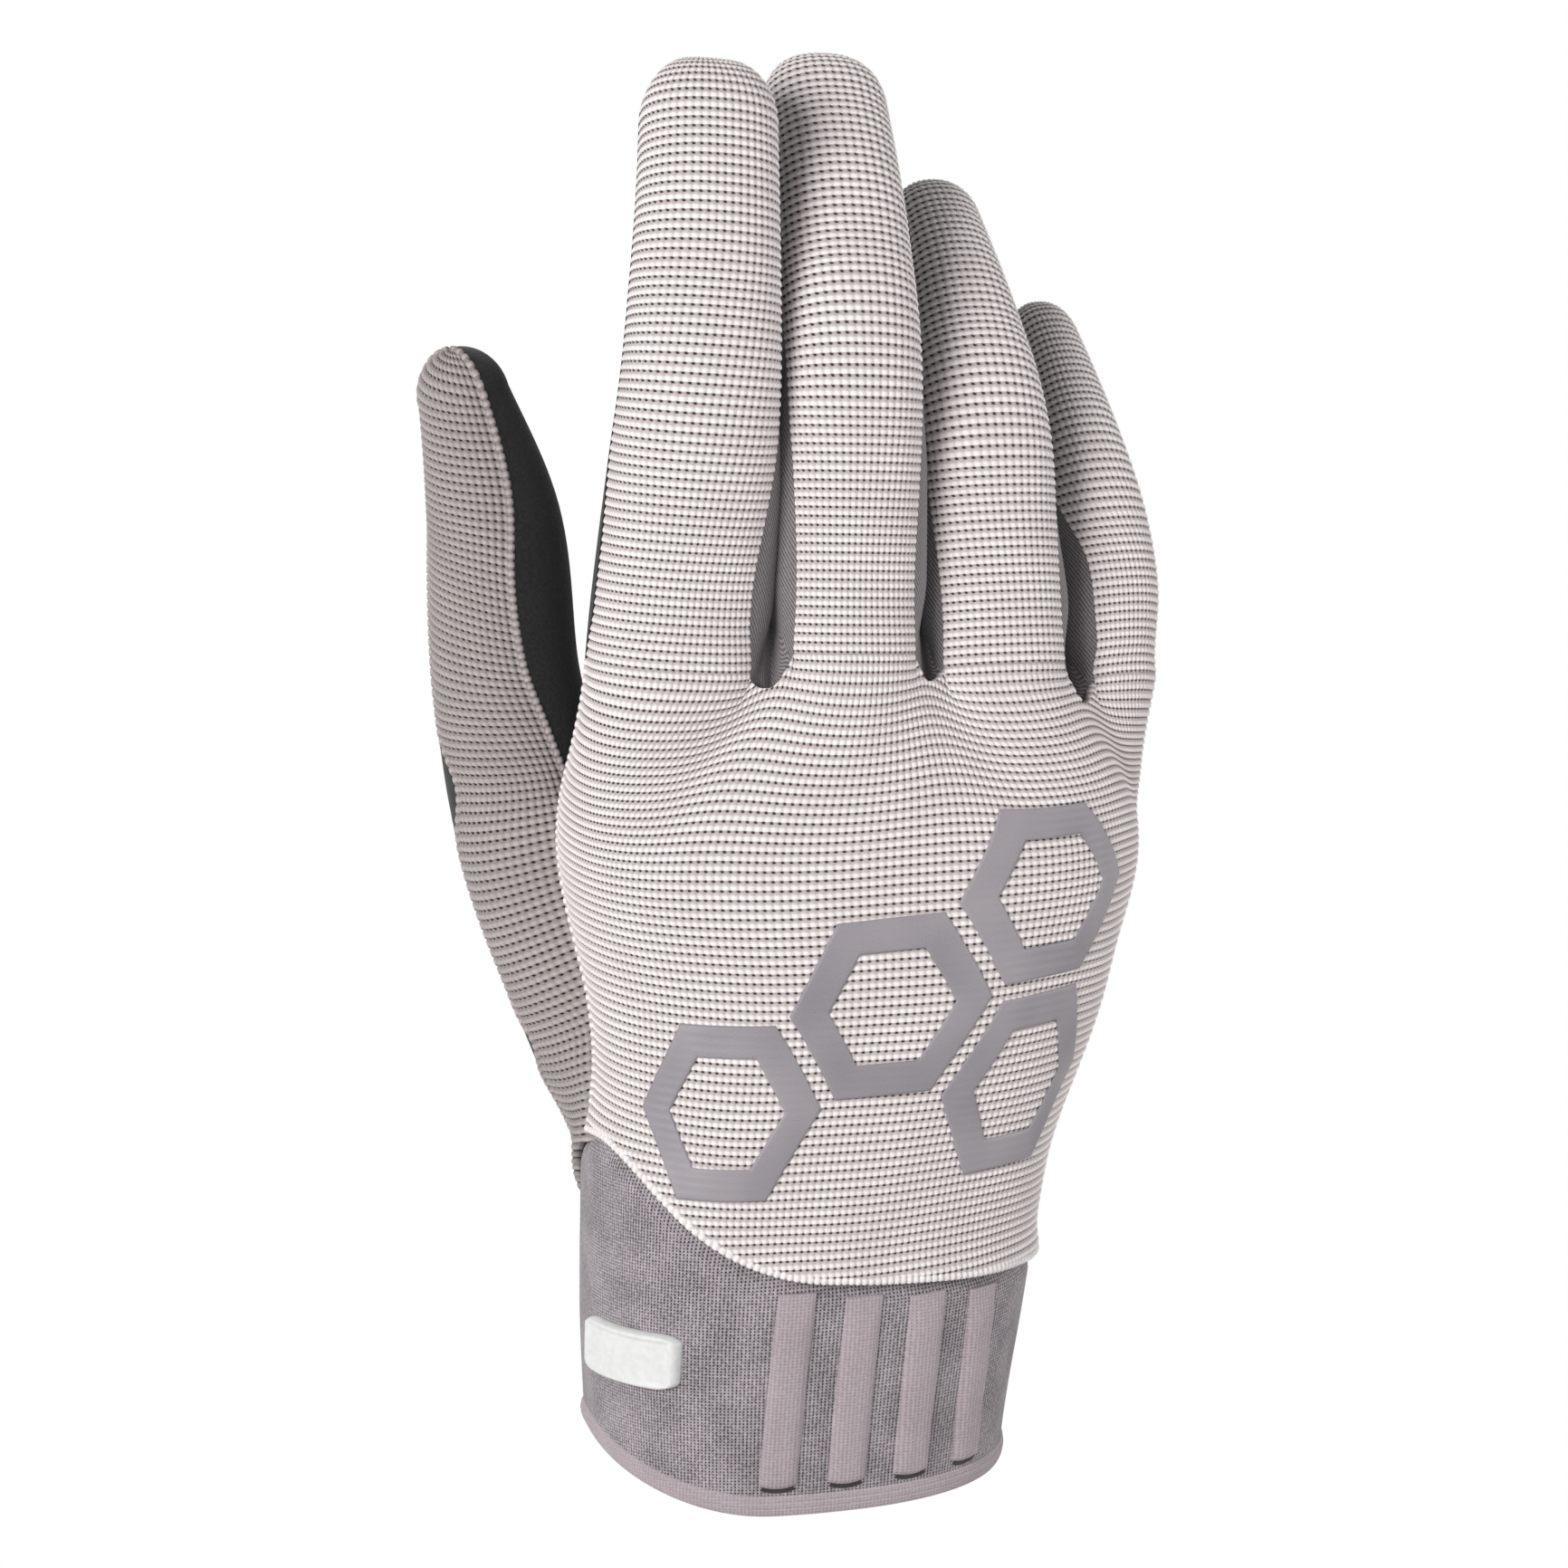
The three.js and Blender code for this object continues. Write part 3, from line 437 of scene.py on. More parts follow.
def strip_part(number):
    """A crowned pad that leans a little, round at its foot and fading out at its top under the knit."""
    middle = STRIP_FIRST + STRIP_PITCH * number
    length = cuff_seam(middle / cuff_girth(CUFF_SEAM_HEIGHT)) - STRIP_TOP_GAP - STRIP_FOOT
    u, v = np.meshgrid(np.linspace(-1, 1, STRIP_COLUMNS), np.linspace(0, 1, STRIP_ROWS))
    z = STRIP_FOOT + length * v + STRIP_FOOT_ROUND * u**2 * (1 - smooth_step(v, 0, STRIP_FOOT_END))
    across = middle + STRIP_SLANT * length * v + STRIP_WIDTH / 2 * u
    ends = smooth_step(v, *STRIP_FOOT_RISE) * (1 - STRIP_TOP_DROP * smooth_step(v, *STRIP_TOP_FADE))
    crown = (1 - np.abs(u) ** STRIP_SQUARENESS) * ends
    angle = across / cuff_girth(z)
    top = hand_point(angle, z, -STRIP_PROUD - STRIP_RISE * crown)
    return shell(top, hand_point(angle, z, STRIP_SINK), np.stack([across, z], -1))


def pocket_shadow_part(number):
    """A painted shadow in the mouth of the pocket below a strip: a thin dark crescent."""
    u, v = np.meshgrid(np.linspace(-1, 1, STRIP_COLUMNS), np.linspace(0, 1, POCKET_SHADOW_ROWS))
    z = STRIP_FOOT - POCKET_SHADOW_DROP + POCKET_SHADOW_SMILE * u**2 + POCKET_SHADOW_HEIGHT * np.sqrt(1 - u**2) * v
    across = STRIP_FIRST + STRIP_PITCH * number + POCKET_SHADOW_WIDTH / 2 * u
    angle = across / cuff_girth(z)
    top = hand_point(angle, z, -STRIP_PROUD)
    return shell(top, hand_point(angle, z, POCKET_SHADOW_SINK), np.stack([across, z], -1))


def shell(outer, inner, flat):
    """A closed cloth panel; the inner grid may be coarser by a whole number of steps."""
    rows, columns = outer.shape[:2]
    inner_rows, inner_columns = inner.shape[:2]
    row_step = (rows - 1) // (inner_rows - 1)
    column_step = (columns - 1) // (inner_columns - 1)
    layer = rows * columns
    outside = np.arange(layer).reshape(rows, columns)
    inside = layer + np.arange(inner_rows * inner_columns).reshape(inner_rows, inner_columns)

    def border(out_edge, in_edge, step):
        count = len(in_edge) - 1
        runs = [out_edge[k * step:k * step + step + 1] for k in range(count)]
        return np.array([list(run[::-1]) + [in_edge[k], in_edge[k + 1]] for k, run in enumerate(runs)])

    faces = [
        quads(rows, columns),
        quads(inner_rows, inner_columns, layer, flip=True),
        border(outside[0], inside[0], column_step),
        border(outside[:, -1], inside[:, -1], row_step),
        border(outside[-1, ::-1], inside[-1, ::-1], column_step),
        border(outside[::-1, 0], inside[::-1, 0], row_step),
    ]
    points = np.concatenate([outer.reshape(-1, 3), inner.reshape(-1, 3)])
    inner_flat = flat[::row_step, ::column_step]
    return points, faces, np.concatenate([flat.reshape(-1, 2), inner_flat.reshape(-1, 2)])


strip_material = jersey_material("strip_jersey", colour(184, 171, 176), colour(98, 89, 93), speckle=0.4)
# Painted shadow: near-black jersey for the crescents in the pocket mouths
pocket_shadow_material = jersey_material("pocket_shade", colour(62, 56, 59), colour(34, 30, 32), speckle=0.5)
for k in range(STRIP_COUNT):
    strip = make_piece(f"cuff_pad_{k + 1}", strip_part(k), strip_material)
    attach(strip, "hand")
    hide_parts(f"cuff_strip_{k + 1}")
    pocket_shadow = make_piece(f"cuff_pocket_shadow_{k + 1}", pocket_shadow_part(k), pocket_shadow_material)
    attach(pocket_shadow, "hand")


# Rubber tab
# A small white moulded rubber plate on the thumb side of the cuff, with a low rim.
# It is bonded flat to the jersey.

TAB_WIDTH = 24.0
TAB_HEIGHT = 9.0
TAB_CENTRE = -37.0
TAB_FOOT = 20.5
TAB_THICKNESS = 1.5
TAB_SINK = 0.2
TAB_CORNER = 0.35
TAB_SIDE = 0.08
TAB_SIDE_FOOT = 0.2
TAB_RIM = 0.16
TAB_RIM_DEPTH = 0.35
TAB_WELL_EDGE = 0.14
TAB_WELL_ROUND = 1.5
TAB_COLUMNS = 61
TAB_ROWS = 41


def rubber_material():
    material, shader, start = new_material("white_rubber")
    place = start.node("ShaderNodeTexCoord", {}, {}, output=3)
    grain = start.noise(place, scale=900.0, detail=3.0, dimensions="3D")
    tint = grain.rise(0.2, 0.8).tint(colour(216, 217, 215), colour(226, 227, 226))
    finish(shader, start, tint, grain, strength=0.1, depth=0.0001, roughness=0.45)
    return material


def rounded_square(u, v, corner):
    """Pulls a square's grid in to rounded corners."""
    limit = 1 - corner
    over_u = np.maximum(np.abs(u) - limit, 0) / corner
    over_v = np.maximum(np.abs(v) - limit, 0) / corner
    long = np.sqrt(over_u**2 + over_v**2)
    pull = np.where((over_u > 0) & (over_v > 0), np.maximum(over_u, over_v) / np.maximum(long, 1e-9), 1)
    fit_u = np.sign(u) * (np.minimum(np.abs(u), limit) + over_u * corner * pull)
    fit_v = np.sign(v) * (np.minimum(np.abs(v), limit) + over_v * corner * pull)
    return fit_u, fit_v


tab_u, tab_v = np.meshgrid(np.linspace(-1, 1, TAB_COLUMNS), np.linspace(-1, 1, TAB_ROWS))
tab_edge = np.maximum(np.abs(tab_u), np.abs(tab_v))
tab_u, tab_v = rounded_square(tab_u, tab_v, TAB_CORNER)
tab_side = TAB_SIDE_FOOT + (1 - TAB_SIDE_FOOT) * np.sqrt(smooth_step(1 - tab_edge, 0, TAB_SIDE))
tab_inside = 1 - np.maximum(np.abs(tab_u) ** TAB_WELL_ROUND, np.abs(tab_v))
tab_well = smooth_step(tab_inside, TAB_RIM, TAB_RIM + TAB_WELL_EDGE)
tab_rise = TAB_THICKNESS * tab_side - TAB_RIM_DEPTH * tab_well
tab_z = TAB_FOOT + TAB_HEIGHT * (tab_v + 1) / 2
tab_across = TAB_CENTRE + TAB_WIDTH / 2 * tab_u
tab_angle = tab_across / cuff_girth(tab_z)
tab_top = hand_point(tab_angle, tab_z, -tab_rise)
tab_under = hand_point(tab_angle, tab_z, TAB_SINK)
tab_part = shell(tab_top, tab_under, np.stack([tab_across, tab_z], -1))
tab = make_piece("rubber_tab", tab_part, rubber_material())
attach(tab, "hand")
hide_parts("cuff_tab")


# Knit back of the hand
# One cloth of thick light rib knit from the cuff to the fingertips, cut in one with the finger backs.
# Rows of bead-like stitches run across; the edges roll into a beaded line at the thumb and over the cuff.

RIB_PITCH = 1.38
RIB_HEIGHT = 0.6
RIB_ROWS = np.array([0.0, 0.1, 0.2, 0.32, 0.48, 0.65, 0.82])
RIB_HEIGHTS = np.array([0.66, 0.5, 0.0, 0.8, 1.0, 0.94, 0.8])
GROOVE_BRIDGE = 0.5
KNIT_WALL = 1.7
STITCH_COLUMNS = np.array([0.0, 0.15, 0.5, 0.85])
STITCH_SINK = 0.5
KNIT_STEP = 0.4
CORD_SIDES = 10
BEAD_NECK = 0.55
EDGE_BEAD = 0.55
CUFF_EDGE_BEAD = 0.7
HAND_ROW_START = 33.0
HAND_ROW_WARP = 38.0
KNUCKLE_REACH = 46.0
KNUCKLE_FADE = 2.2
CROTCH_DIP = 3.0
KNIT_DIPS = (2.4, 1.6, 3.6)
CROTCH_ROUND = 0.65
CROTCH_RISE = 1.5
CROTCH_STITCHES = 9
GAP_STEP = 0.35
LEFT_SEAM_ANGLE = math.radians(-98)
RIGHT_SEAM_ANGLE = math.radians(95)
INDEX_SEAM_ROLL = math.radians(13)
INDEX_ROLL_FALL = (0.2, 0.4)
INDEX_TIP_WRAP = math.radians(12)
INDEX_TIP_RISE = (0.3, 0.5)
SEAM_ROLL = 1.0
SEAM_ROLL_REACH = 3.2
SEAM_CLEAR = 1.5
EASE_SAMPLES = 65
EASE_DEPTH = 8.0
RIB_SAG = 1.3
ROW_TILT = 6.0
ROW_TILT_STITCHES = 50
ROW_TILT_FADE = (84, 122)
TILT_ROUNDS = 6
WEB_SEARCH_RIBS = 12
WEB_SEARCH_STEPS = 60
SAG_BELOW = 12.0
CLOTH_WAVER = 0.45
WAVER_ACROSS = 0.19
WAVER_LEAN = 0.05
WAVER_UP = 0.12
WAVER_DRIFT = 1.7
WAVER_DRIFT_ACROSS = 0.06

# Fingers from the thumb's side. Lengths in millimetres outside the cloth, bends and turns in degrees.
# gap_turns is how far the knit draws back from the gap on each side of the finger, and up to what place.
# root_flare widens the root on the thumb's side, and outer moves the outer edge at the root and above it.
FINGER_GAP = 1.6
MIDDLE_X = 7.9
FINGER_SQUARENESS = 2.3
FINGER_TAPER = (0.35, 1.05)
TIP_CAP = 10.5
TIP_LAST = 1.985
BEND_SPAN = 18.0
BACK_HALF_ANGLE = math.radians(64)
PALM_HALF_ANGLE = math.radians(66)
SEAM_STRAIGHT = 0.3
SIDE_STRIP_END = 0.8
ROOT_FLARE_END = 0.6
OUTER_ROOT_END = 0.25
OUTER_BELLY_RISE = (0, 0.3)
OUTER_BELLY_FALL = (0.3, 0.7)
SEAM_FOOT = 0.1
GAP_TURN_AT_ROOT = 0.75
GAP_TURN_FULL = 0.3
FINGERS = [
    dict(name="index", base_y=2.5, base_z=131, lean=5.4, pitch=3, length=93.5, mid=44, end=69,
         mid_bend=9, end_bend=8, width=12.7, tip_width=10.7, depth=10.8, tip_depth=9, tip_flatness=0.26,
         stitches=30, root_stitches=33, root_flare=2.0, outer=(0, 0), gap_turns=((0, 0.4), (21, 0.46))),
    dict(name="middle", base_y=0.5, base_z=132, lean=3.2, pitch=9, length=99, mid=47, end=74,
         mid_bend=22, end_bend=12, width=11.5, tip_width=10.2, depth=10.8, tip_depth=9, tip_flatness=0.24,
         stitches=22, root_stitches=25, root_flare=0, outer=(0, 0), gap_turns=((9, 0.46), (14, 0.42))),
    dict(name="ring", base_y=2, base_z=128, lean=0.5, pitch=15, length=87, mid=40, end=64,
         mid_bend=27, end_bend=13, width=11.5, tip_width=7.6, depth=10.2, tip_depth=8.6, tip_flatness=0.1,
         stitches=20, root_stitches=22, root_flare=0, outer=(0, 0), gap_turns=((9, 0.42), (6, 0.5))),
    dict(name="little", base_y=7.5, base_z=123.5, lean=-2.2, pitch=21, length=70, mid=34, end=54,
         mid_bend=25, end_bend=13, width=8.3, tip_width=5.9, depth=9.2, tip_depth=7.8, tip_flatness=0.1,
         stitches=22, root_stitches=24, root_flare=0, outer=(-1.4, 1.2), gap_turns=((36, 0.8), (0, 0.5))),
]
finger_x = MIDDLE_X - 2 * FINGERS[0]["width"] - FINGERS[1]["width"] - FINGER_GAP
for finger in FINGERS:
    finger["base_x"] = finger_x + finger["width"]
    finger_x += 2 * finger["width"] + FINGER_GAP


def hill(x, rise, fall):
    """0 before the rise, 1 between the rise and the fall, and 0 after the fall."""
    return smooth_step(x, *rise) * (1 - smooth_step(x, *fall))


def unit(vectors):
    return vectors / np.maximum(np.linalg.norm(vectors, axis=-1, keepdims=True), 1e-9)


def finger_frame(finger, distance):
    """Middle, sideways and backward directions of a finger at distances along it."""
    half = BEND_SPAN / 2
    knots = [0, finger["mid"] - half, finger["mid"] + half, finger["end"] - half, finger["end"] + half, 1e9]
    bends = [0, finger["mid_bend"], 0, finger["end_bend"], 0]
    pitch = np.full(np.shape(distance), math.radians(finger["pitch"]))
    forward, down = np.zeros_like(pitch), np.zeros_like(pitch)
    for low, high, bend in zip(knots, knots[1:], bends):
        run = np.clip(distance, low, high) - low
        turn = math.radians(bend) * run / BEND_SPAN
        chord = run * np.sinc(turn / 2 / math.pi)
        forward += chord * np.cos(pitch + turn / 2)
        down += chord * np.sin(pitch + turn / 2)
        pitch = pitch + turn
    lean = math.radians(finger["lean"])
    zero = np.zeros_like(pitch)
    side = np.stack([math.cos(lean) + zero, zero, -math.sin(lean) + zero], -1)
    along = np.stack([math.sin(lean) * np.cos(pitch), np.sin(pitch), math.cos(lean) * np.cos(pitch)], -1)
    point = np.stack([
        finger["base_x"] + forward * math.sin(lean),
        finger["base_y"] + down,
        finger["base_z"] + forward * math.cos(lean),
    ], -1)
    return point, side, np.cross(side, along)


def finger_point(finger, place, angle, inset):
    """A point on a finger: place 0 to 1 is the straight tube and 1 to 2 the rounded tip."""
    place, angle = np.broadcast_arrays(np.asarray(place, float), np.asarray(angle, float))
    straight = finger["length"] - TIP_CAP
    turn = math.pi / 2 * np.clip(place - 1, 0, 1)
    distance = straight * np.minimum(place, 1) + (TIP_CAP - inset) * np.sin(turn)
    share = np.minimum(distance, straight) / straight
    taper = smooth_step(share, *FINGER_TAPER)
    flare = finger["root_flare"] / 2 * (1 - smooth_step(share, 0, ROOT_FLARE_END))
    at_root, at_belly = finger["outer"]
    belly = hill(share, OUTER_BELLY_RISE, OUTER_BELLY_FALL)
    outer = (at_root * (1 - smooth_step(share, 0, OUTER_ROOT_END)) + at_belly * belly) / 2
    half_width = finger["width"] + (finger["tip_width"] - finger["width"]) * taper + flare + outer - inset
    half_depth = finger["depth"] + (finger["tip_depth"] - finger["depth"]) * share - inset
    point, side, back = finger_frame(finger, distance)
    x, y = rounded_unit(angle, FINGER_SQUARENESS)
    shrink = np.cos(turn)
    flat = finger["tip_flatness"]
    across = (x * half_width * (flat + (1 - flat) * shrink) - flare + outer)[..., None]
    return point + side * across + back * (y * half_depth * shrink)[..., None]


def finger_seams(finger, place):
    """Seam angles round a finger: the back's two edges, then the palm's two edges."""
    closing = smooth_step(place, SEAM_STRAIGHT, SIDE_STRIP_END)
    outer = smooth_step(place, SEAM_STRAIGHT, 1)
    quarter = math.pi / 2
    foot = GAP_TURN_AT_ROOT + (1 - GAP_TURN_AT_ROOT) * smooth_step(place, 0, SEAM_FOOT)
    back_left, back_right = (
        BACK_HALF_ANGLE - math.radians(turn) * foot * (1 - smooth_step(place, GAP_TURN_FULL * end, end))
        for turn, end in finger["gap_turns"]
    )
    back_left = back_left + (quarter - back_left) * closing
    back_right = back_right + (quarter - back_right) * closing
    palm = math.pi - PALM_HALF_ANGLE + (quarter - math.pi + PALM_HALF_ANGLE) * closing
    left = LEFT_SEAM_ANGLE + INDEX_SEAM_ROLL * hill(place, (0, SEAM_FOOT), INDEX_ROLL_FALL)
    left = left - INDEX_TIP_WRAP * smooth_step(place, *INDEX_TIP_RISE)
    right = RIGHT_SEAM_ANGLE + (quarter - RIGHT_SEAM_ANGLE) * outer
    first, last = finger is FINGERS[0], finger is FINGERS[-1]
    return (
        left if first else -back_left, right if last else back_right,
        left if first else -palm, right if last else palm,
    )


def spread(count, places):
    """Places along a row of repeats, each repeat sampled in the same way, ending on a whole one."""
    return np.append(np.add.outer(np.arange(count), places).ravel(), count)


def knit_relief(stitch, rib):
    """Height of the knit above its grooves: each rib is a row of broad beads that overhangs the one below."""
    bead = np.sqrt(1 - (2 * (stitch - np.floor(stitch)) - 1) ** 2)
    height = np.interp(rib - np.floor(rib), RIB_ROWS, RIB_HEIGHTS, period=1)
    crest = height * (1 - STITCH_SINK * height * (1 - bead))
    return RIB_HEIGHT * np.maximum(crest, GROOVE_BRIDGE * bead)


def surface_normals(surface, across, along, step):
    """Outward directions of a surface, from points a step to each side."""
    du = surface(across + step, along) - surface(across - step, along)
    dv = surface(across, along + step) - surface(across, along - step)
    return unit(np.cross(du, dv))


def knit_panel(surface, stitch, rib, lift=0.0):
    """A closed panel of rib knit on a surface given by stitch and rib counts."""
    base = surface(stitch, rib)
    normal = surface_normals(surface, stitch, rib, KNIT_STEP)
    outer = base + normal * (knit_relief(stitch, rib) + lift)[..., None]
    inner = (base - normal * (KNIT_WALL - RIB_HEIGHT))[::len(RIB_ROWS), ::len(STITCH_COLUMNS)]
    return shell(outer, inner, np.stack([stitch, rib], -1))


def bead_cord(surface, stitch, rib, radius, lift, along_ribs):
    """A rolled edge of a knit panel: a cord with one bead for each rib or each stitch that ends there."""
    count = rib if along_ribs else stitch
    middle = surface(stitch, rib)
    out = surface_normals(surface, stitch, rib, KNIT_STEP)
    beside = np.cross(unit(np.gradient(middle, axis=0)), out)
    swell = 1 - (2 * (count - np.floor(count)) - 1) ** 2
    size = radius * (BEAD_NECK + (1 - BEAD_NECK) * np.sqrt(swell))
    turn = np.linspace(0, FULL_TURN, CORD_SIDES, endpoint=False)
    ring = beside[:, None] * np.cos(turn)[:, None] + out[:, None] * np.sin(turn)[:, None]
    points = (middle + out * lift)[:, None] + ring * size[:, None, None]
    rows = len(points)
    half = np.full(rows, 0.5)
    flat = np.stack([half, count] if along_ribs else [count, half], -1)
    flat = np.repeat(flat[:, None], CORD_SIDES, 1)
    end = np.arange(CORD_SIDES)[None]
    faces = [quads(rows, CORD_SIDES, ring=True), end[:, ::-1], end + (rows - 1) * CORD_SIDES]
    return points.reshape(-1, 3), faces, flat.reshape(-1, 2)


def gap_fall(share, start_z, end_z):
    """How much of the step from one finger's root to the next is done, part way across their gap."""
    falls = smooth_step(share, 0, GAP_STEP)
    climbs = smooth_step(share, 1 - GAP_STEP, 1)
    return np.where(start_z > end_z, falls, climbs)


def web_columns():
    """Round the finger roots at each sampled stitch: counts, points, the knit's top edge and its sag."""
    counts, roots, edges, sags = [], [], [], []
    count = 0
    for k, finger in enumerate(FINGERS):
        left, right, _, _ = finger_seams(finger, 0)
        number = finger["root_stitches"]
        places = spread(number, STITCH_COLUMNS)
        root = finger_point(finger, 0, left + (right - left) * places / number, RIB_HEIGHT)
        counts.append(count + places)
        roots.append(root)
        edges.append(root[:, 2])
        sags.append(np.sin(math.pi * places / number))
        count += number
        if finger is FINGERS[-1]:
            break
        after = FINGERS[k + 1]
        end = finger_point(after, 0, finger_seams(after, 0)[0], RIB_HEIGHT)
        places = spread(CROTCH_STITCHES, STITCH_COLUMNS)[1:-1]
        share = (places / CROTCH_STITCHES)[:, None]
        gap = root[-1] + (end - root[-1]) * share
        arch = (4 * share * (1 - share))[:, 0] ** CROTCH_ROUND
        counts.append(count + places)
        fall = gap_fall(share[:, 0], root[-1, 2], end[2])
        edges.append(root[-1, 2] + (end[2] - root[-1, 2]) * fall - KNIT_DIPS[k] * arch)
        sags.append(0 * arch)
        gap[:, 2] += CROTCH_RISE * arch
        roots.append(gap)
        count += CROTCH_STITCHES
    return tuple(np.concatenate(values) for values in (counts, roots, edges, sags))


web_stitches, web_roots, web_edge, web_sag = web_columns()
web_ends = hand_angle(web_roots[[0, -1]])
web_plain = np.interp(web_stitches, web_stitches[[0, -1]], web_ends)
web_shift = web_roots - hand_point(web_plain, web_roots[:, 2], RIB_HEIGHT)
HAND_RIBS = round((FINGERS[0]["base_z"] - HAND_ROW_START) / RIB_PITCH)
hand_top = HAND_ROW_START + HAND_RIBS * RIB_PITCH


def eased(values):
    """The same values with their corners smoothed over a run of samples."""
    window = np.hanning(EASE_SAMPLES + 2)[1:-1]
    reach = EASE_SAMPLES // 2
    padded = np.pad(values, reach, mode="reflect", reflect_type="odd")
    return np.convolve(padded, window / window.sum(), mode="valid")


web_eased = np.stack([eased(web_shift[:, 0]), eased(web_shift[:, 1]), eased(web_roots[:, 2])], -1)
web_exact = np.stack([web_shift[:, 0], web_shift[:, 1], web_roots[:, 2]], -1)
web_hang = eased(web_sag)


def row_tilt(stitch, flat_z):
    """How much a row of the knit climbs towards the thumb, low on the hand."""
    sideways = np.maximum(0, 1 - stitch / ROW_TILT_STITCHES) ** 2
    return ROW_TILT * sideways * (1 - smooth_step(flat_z, *ROW_TILT_FADE))


def hand_back_surface(stitch, rib):
    """The back of the hand: plain below, and meeting each finger's root at the top."""
    plain = np.interp(stitch, web_stitches, web_plain)
    flat_z = HAND_ROW_START + RIB_PITCH * rib
    near = smooth_step(flat_z, hand_top - EASE_DEPTH, hand_top)
    shift_x, shift_y, root_z = (
        np.interp(stitch, web_stitches, web_eased[:, k]) * (1 - near)
        + np.interp(stitch, web_stitches, web_exact[:, k]) * near
        for k in range(3)
    )
    belly = smooth_step(flat_z, hand_top - HAND_ROW_WARP, hand_top - SAG_BELOW) * (1 - near)
    z = flat_z + smooth_step(flat_z, hand_top - HAND_ROW_WARP, hand_top) * (root_z - hand_top)
    z = z + row_tilt(stitch, flat_z)
    z = z - RIB_SAG * belly * np.interp(stitch, web_stitches, web_hang)
    knuckle = smooth_step(z, root_z - KNUCKLE_REACH, root_z) ** KNUCKLE_FADE
    drift = WAVER_DRIFT * np.sin(WAVER_DRIFT_ACROSS * stitch)
    waver = np.sin(WAVER_ACROSS * stitch + WAVER_LEAN * z) * np.sin(WAVER_UP * z + drift)
    taut = smooth_step(flat_z, hand_top - 2 * SAG_BELOW, hand_top - SAG_BELOW)
    point = hand_point(plain, z, RIB_HEIGHT + CLOTH_WAVER * waver * (1 - taut))
    point[..., 0] += knuckle * shift_x
    point[..., 1] += knuckle * shift_y
    return point


YARN_LIGHT = colour(252, 247, 246)
YARN_SHADE = colour(238, 231, 230)
# Painted shade: the darker colour of the band between crests stands in for the shade under each overhanging
# rib
YARN_VALLEY_SHADE = colour(202, 191, 189)
# Painted shade: the near-black put in the grooves and in the gaps between stitches
YARN_GAP_SHADE = colour(52, 45, 44)
TICK_SLANT = 0.35


def knit_material(name, light, shade, between, gap_shade, dots, line):
    """Rib knit: rows of light beads; the darker colour between them and the dark gaps where stitches part are
    painted shade.

    Dots says how dark the painted shade is in the gaps between two stitches, and line how dark it is along
    the whole groove.
    """
    material, shader, start = new_material(name)
    flat, stitch, rib = cloth_place(start)
    turn = rib.math("FRACT", rib)
    bead = (stitch + turn * TICK_SLANT).wave()
    crest = turn.band(0.26, 0.36, 0.6, 0.95)
    groove = turn.band(0.02, 0.13, 0.27, 0.38)
    drift = start.noise(flat, scale=0.15, detail=2.0)
    fibre = start.noise(flat, scale=5.0, detail=4.0)
    yarn = (drift * 0.35 + fibre * 0.65).rise(0.35, 0.65).tint(shade, light)
    # Painted shade: away from the crest the yarn turns to the darker valley colour
    cloth = (1 - crest + (fibre - 0.5) * 0.3).tint(yarn, between)
    parting = 1 - bead.rise(0.1, 0.75)
    # Painted shade: dark in the grooves, darkest where stitches part, and faintly between the beads on the
    # crest
    tint = (groove * (parting * dots + line) + (1 - groove) * parting * 0.14).tint(cloth, gap_shade)
    finish_cloth(shader, start, tint, fibre, strength=0.3, depth=0.0003, roughness=0.95, sheen=0.15)
    return material


rib_knit = knit_material("rib_knit", YARN_LIGHT, YARN_SHADE, YARN_VALLEY_SHADE, YARN_GAP_SHADE, dots=0.85, line=0.2)

# The thumb's line from inside the palm to its tip, with half sizes along it
THUMB_LINE = np.array([
    [-15, 6, 40], [-25.6, 11, 70], [-36.2, 18, 98], [-41.2, 23, 124], [-42.8, 25, 151], [-49, 26, 178],
], float)
THUMB_HALF_WIDTH = [15, 13.6, 13.1, 11.6, 10.4, 6.4]
THUMB_HALF_DEPTH = [14, 16, 13.6, 11.6, 10.6, 5.6]
THUMB_BACK_TURN = math.radians(-40)
THUMB_CAP = 8.0
THUMB_TIP_FLATNESS = 0.05
THUMB_SETTLE = 16.0
SETTLE_PROUD = 0.9
SETTLE_LEAST_REACH = 0.5
CORNER_ANGLE = math.radians(-80)
CORNER_FADE = (62, 78)
SETTLE_START = (-2.6, -2.2)
SETTLE_END = (CORNER_ANGLE - 0.1, CORNER_ANGLE + 0.03)
SEAM_SEARCH_END = math.radians(-30)
SEAM_SEARCH_STEPS = 160
SEAM_EASE = 9
THUMB_SQUARENESS = 2.1
THUMB_SAMPLES = 600
THUMB_TUBE_SHARES = np.linspace(0.05, 0.98, 90)


